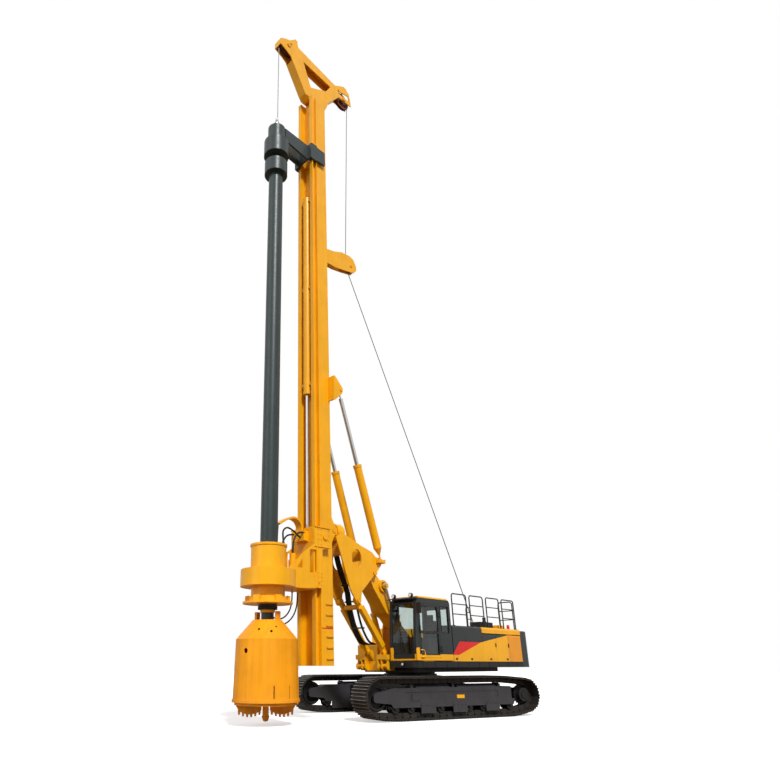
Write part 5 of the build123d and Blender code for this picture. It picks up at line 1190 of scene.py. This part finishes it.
RAIL_LINE = 1.590
STEP_HOOP = ((-1.600, 1.450, HOUSE_TOP), (-1.340, 1.450, HOUSE_TOP), 0.62, (0.4, 0.75), 0.018, 0.07)
TAIL_GUARD = ((-4.260, RAIL_LINE - 0.07, HOUSE_TOP), (-4.260, 0.960, HOUSE_TOP), 0.98, (0.36, 0.68))
guards = [hoop_arrays(*numbers) for numbers in (STEP_HOOP, TAIL_GUARD)]
add_piece("house_guards", join_arrays(guards), "charcoal", smooth=True, slot="steel")

# %% Rail feet, filler and beacon
RAIL_PITCH = 1.020
foot_places = [(x - RAIL_PITCH * hoop, RAIL_LINE, HOUSE_TOP - 0.001)
               for hoop in range(4) for x in (-0.350, -1.170)]
add_piece("rail_feet", repeat(disc_arrays(0.055, 0.0, 0.012, 16), foot_places), "black")

cap_box = box_arrays((-3.560, 1.250, HOUSE_TOP - 0.001), (-3.270, 1.480, HOUSE_TOP + 0.125))
add_piece("filler_box", cap_box, "yellow")
BEACON = [(0.0, 0.0), (0.060, 0.0), (0.060, 0.030), (0.052, 0.036), (0.050, 0.130), (0.040, 0.160),
          (0.0, 0.170)]
beacon = moved(lathe_arrays(BEACON, 24), [-4.040, 1.400, HOUSE_TOP + 0.001])
add_piece("beacon", beacon, "red", smooth=True)


# %% Louvres
def louvre_arrays(x, z, count, lean=0.020):
    """Slanted slats in a field (x low-high, z low-high) on the right skin."""
    step = (z[1] - z[0]) / count
    slat = [(0.0, 0.85 * step), (-lean, 0.30 * step), (-lean, 0.15 * step), (0.0, 0.0)]
    slat = moved(prism_arrays(slat, (x[1] - x[0]) / 2), turn=turn_z(math.pi / 2))
    places = [((x[0] + x[1]) / 2, -HOUSE_SIDE, z[0] + step * k) for k in range(count)]
    return repeat(slat, places)


# (x low-high), (z low-high), slats
LOUVRES = [((-3.20, -2.32), (1.80, 2.42), 11), ((-2.08, -1.24), (1.80, 2.42), 11),
           ((-4.16, -3.44), (2.02, 2.42), 7)]
louvres = [louvre_arrays(*field) for field in LOUVRES]
add_piece("house_louvres", join_arrays(louvres), "yellow")
print("louvres", len(louvres), "fields")

# %% [markdown]
# ## Rope on the winch
#
# The drum is wound with rope, layer on layer. Seen from outside, one layer is a row of
# half rounds, so the drum's skin is one profile turned about the shaft, with a bump of
# the rope's own radius for every turn.

# %% Wound rope
DRUM_SKIN, DRUM_HALF = 0.300, 0.360
turns = int(DRUM_HALF / ROPE_R)
across = np.linspace(-DRUM_HALF, DRUM_HALF, turns * 4 + 1)
bumps = DRUM_SKIN - 0.002 + ROPE_R * np.abs(np.sin(np.pi * (across + DRUM_HALF) / (2 * ROPE_R)))
wound = np.column_stack([np.append(bumps, [DRUM_SKIN - 0.02] * 2),
                         np.append(across, [DRUM_HALF, -DRUM_HALF])])
# the lathe turns about Z; the drum's shaft is along Y
tip_over = np.array([[1.0, 0.0, 0.0], [0.0, 0.0, -1.0], [0.0, 1.0, 0.0]])
add_piece("wound_rope", moved(lathe_arrays(wound, 40), [WINCH[0], 0.0, WINCH[1]], tip_over),
          "rope_steel", "winch", True)
print("rope turns on the drum", turns)

for hose in hoses:
    hose.data.materials.append(finishes["rubber"])
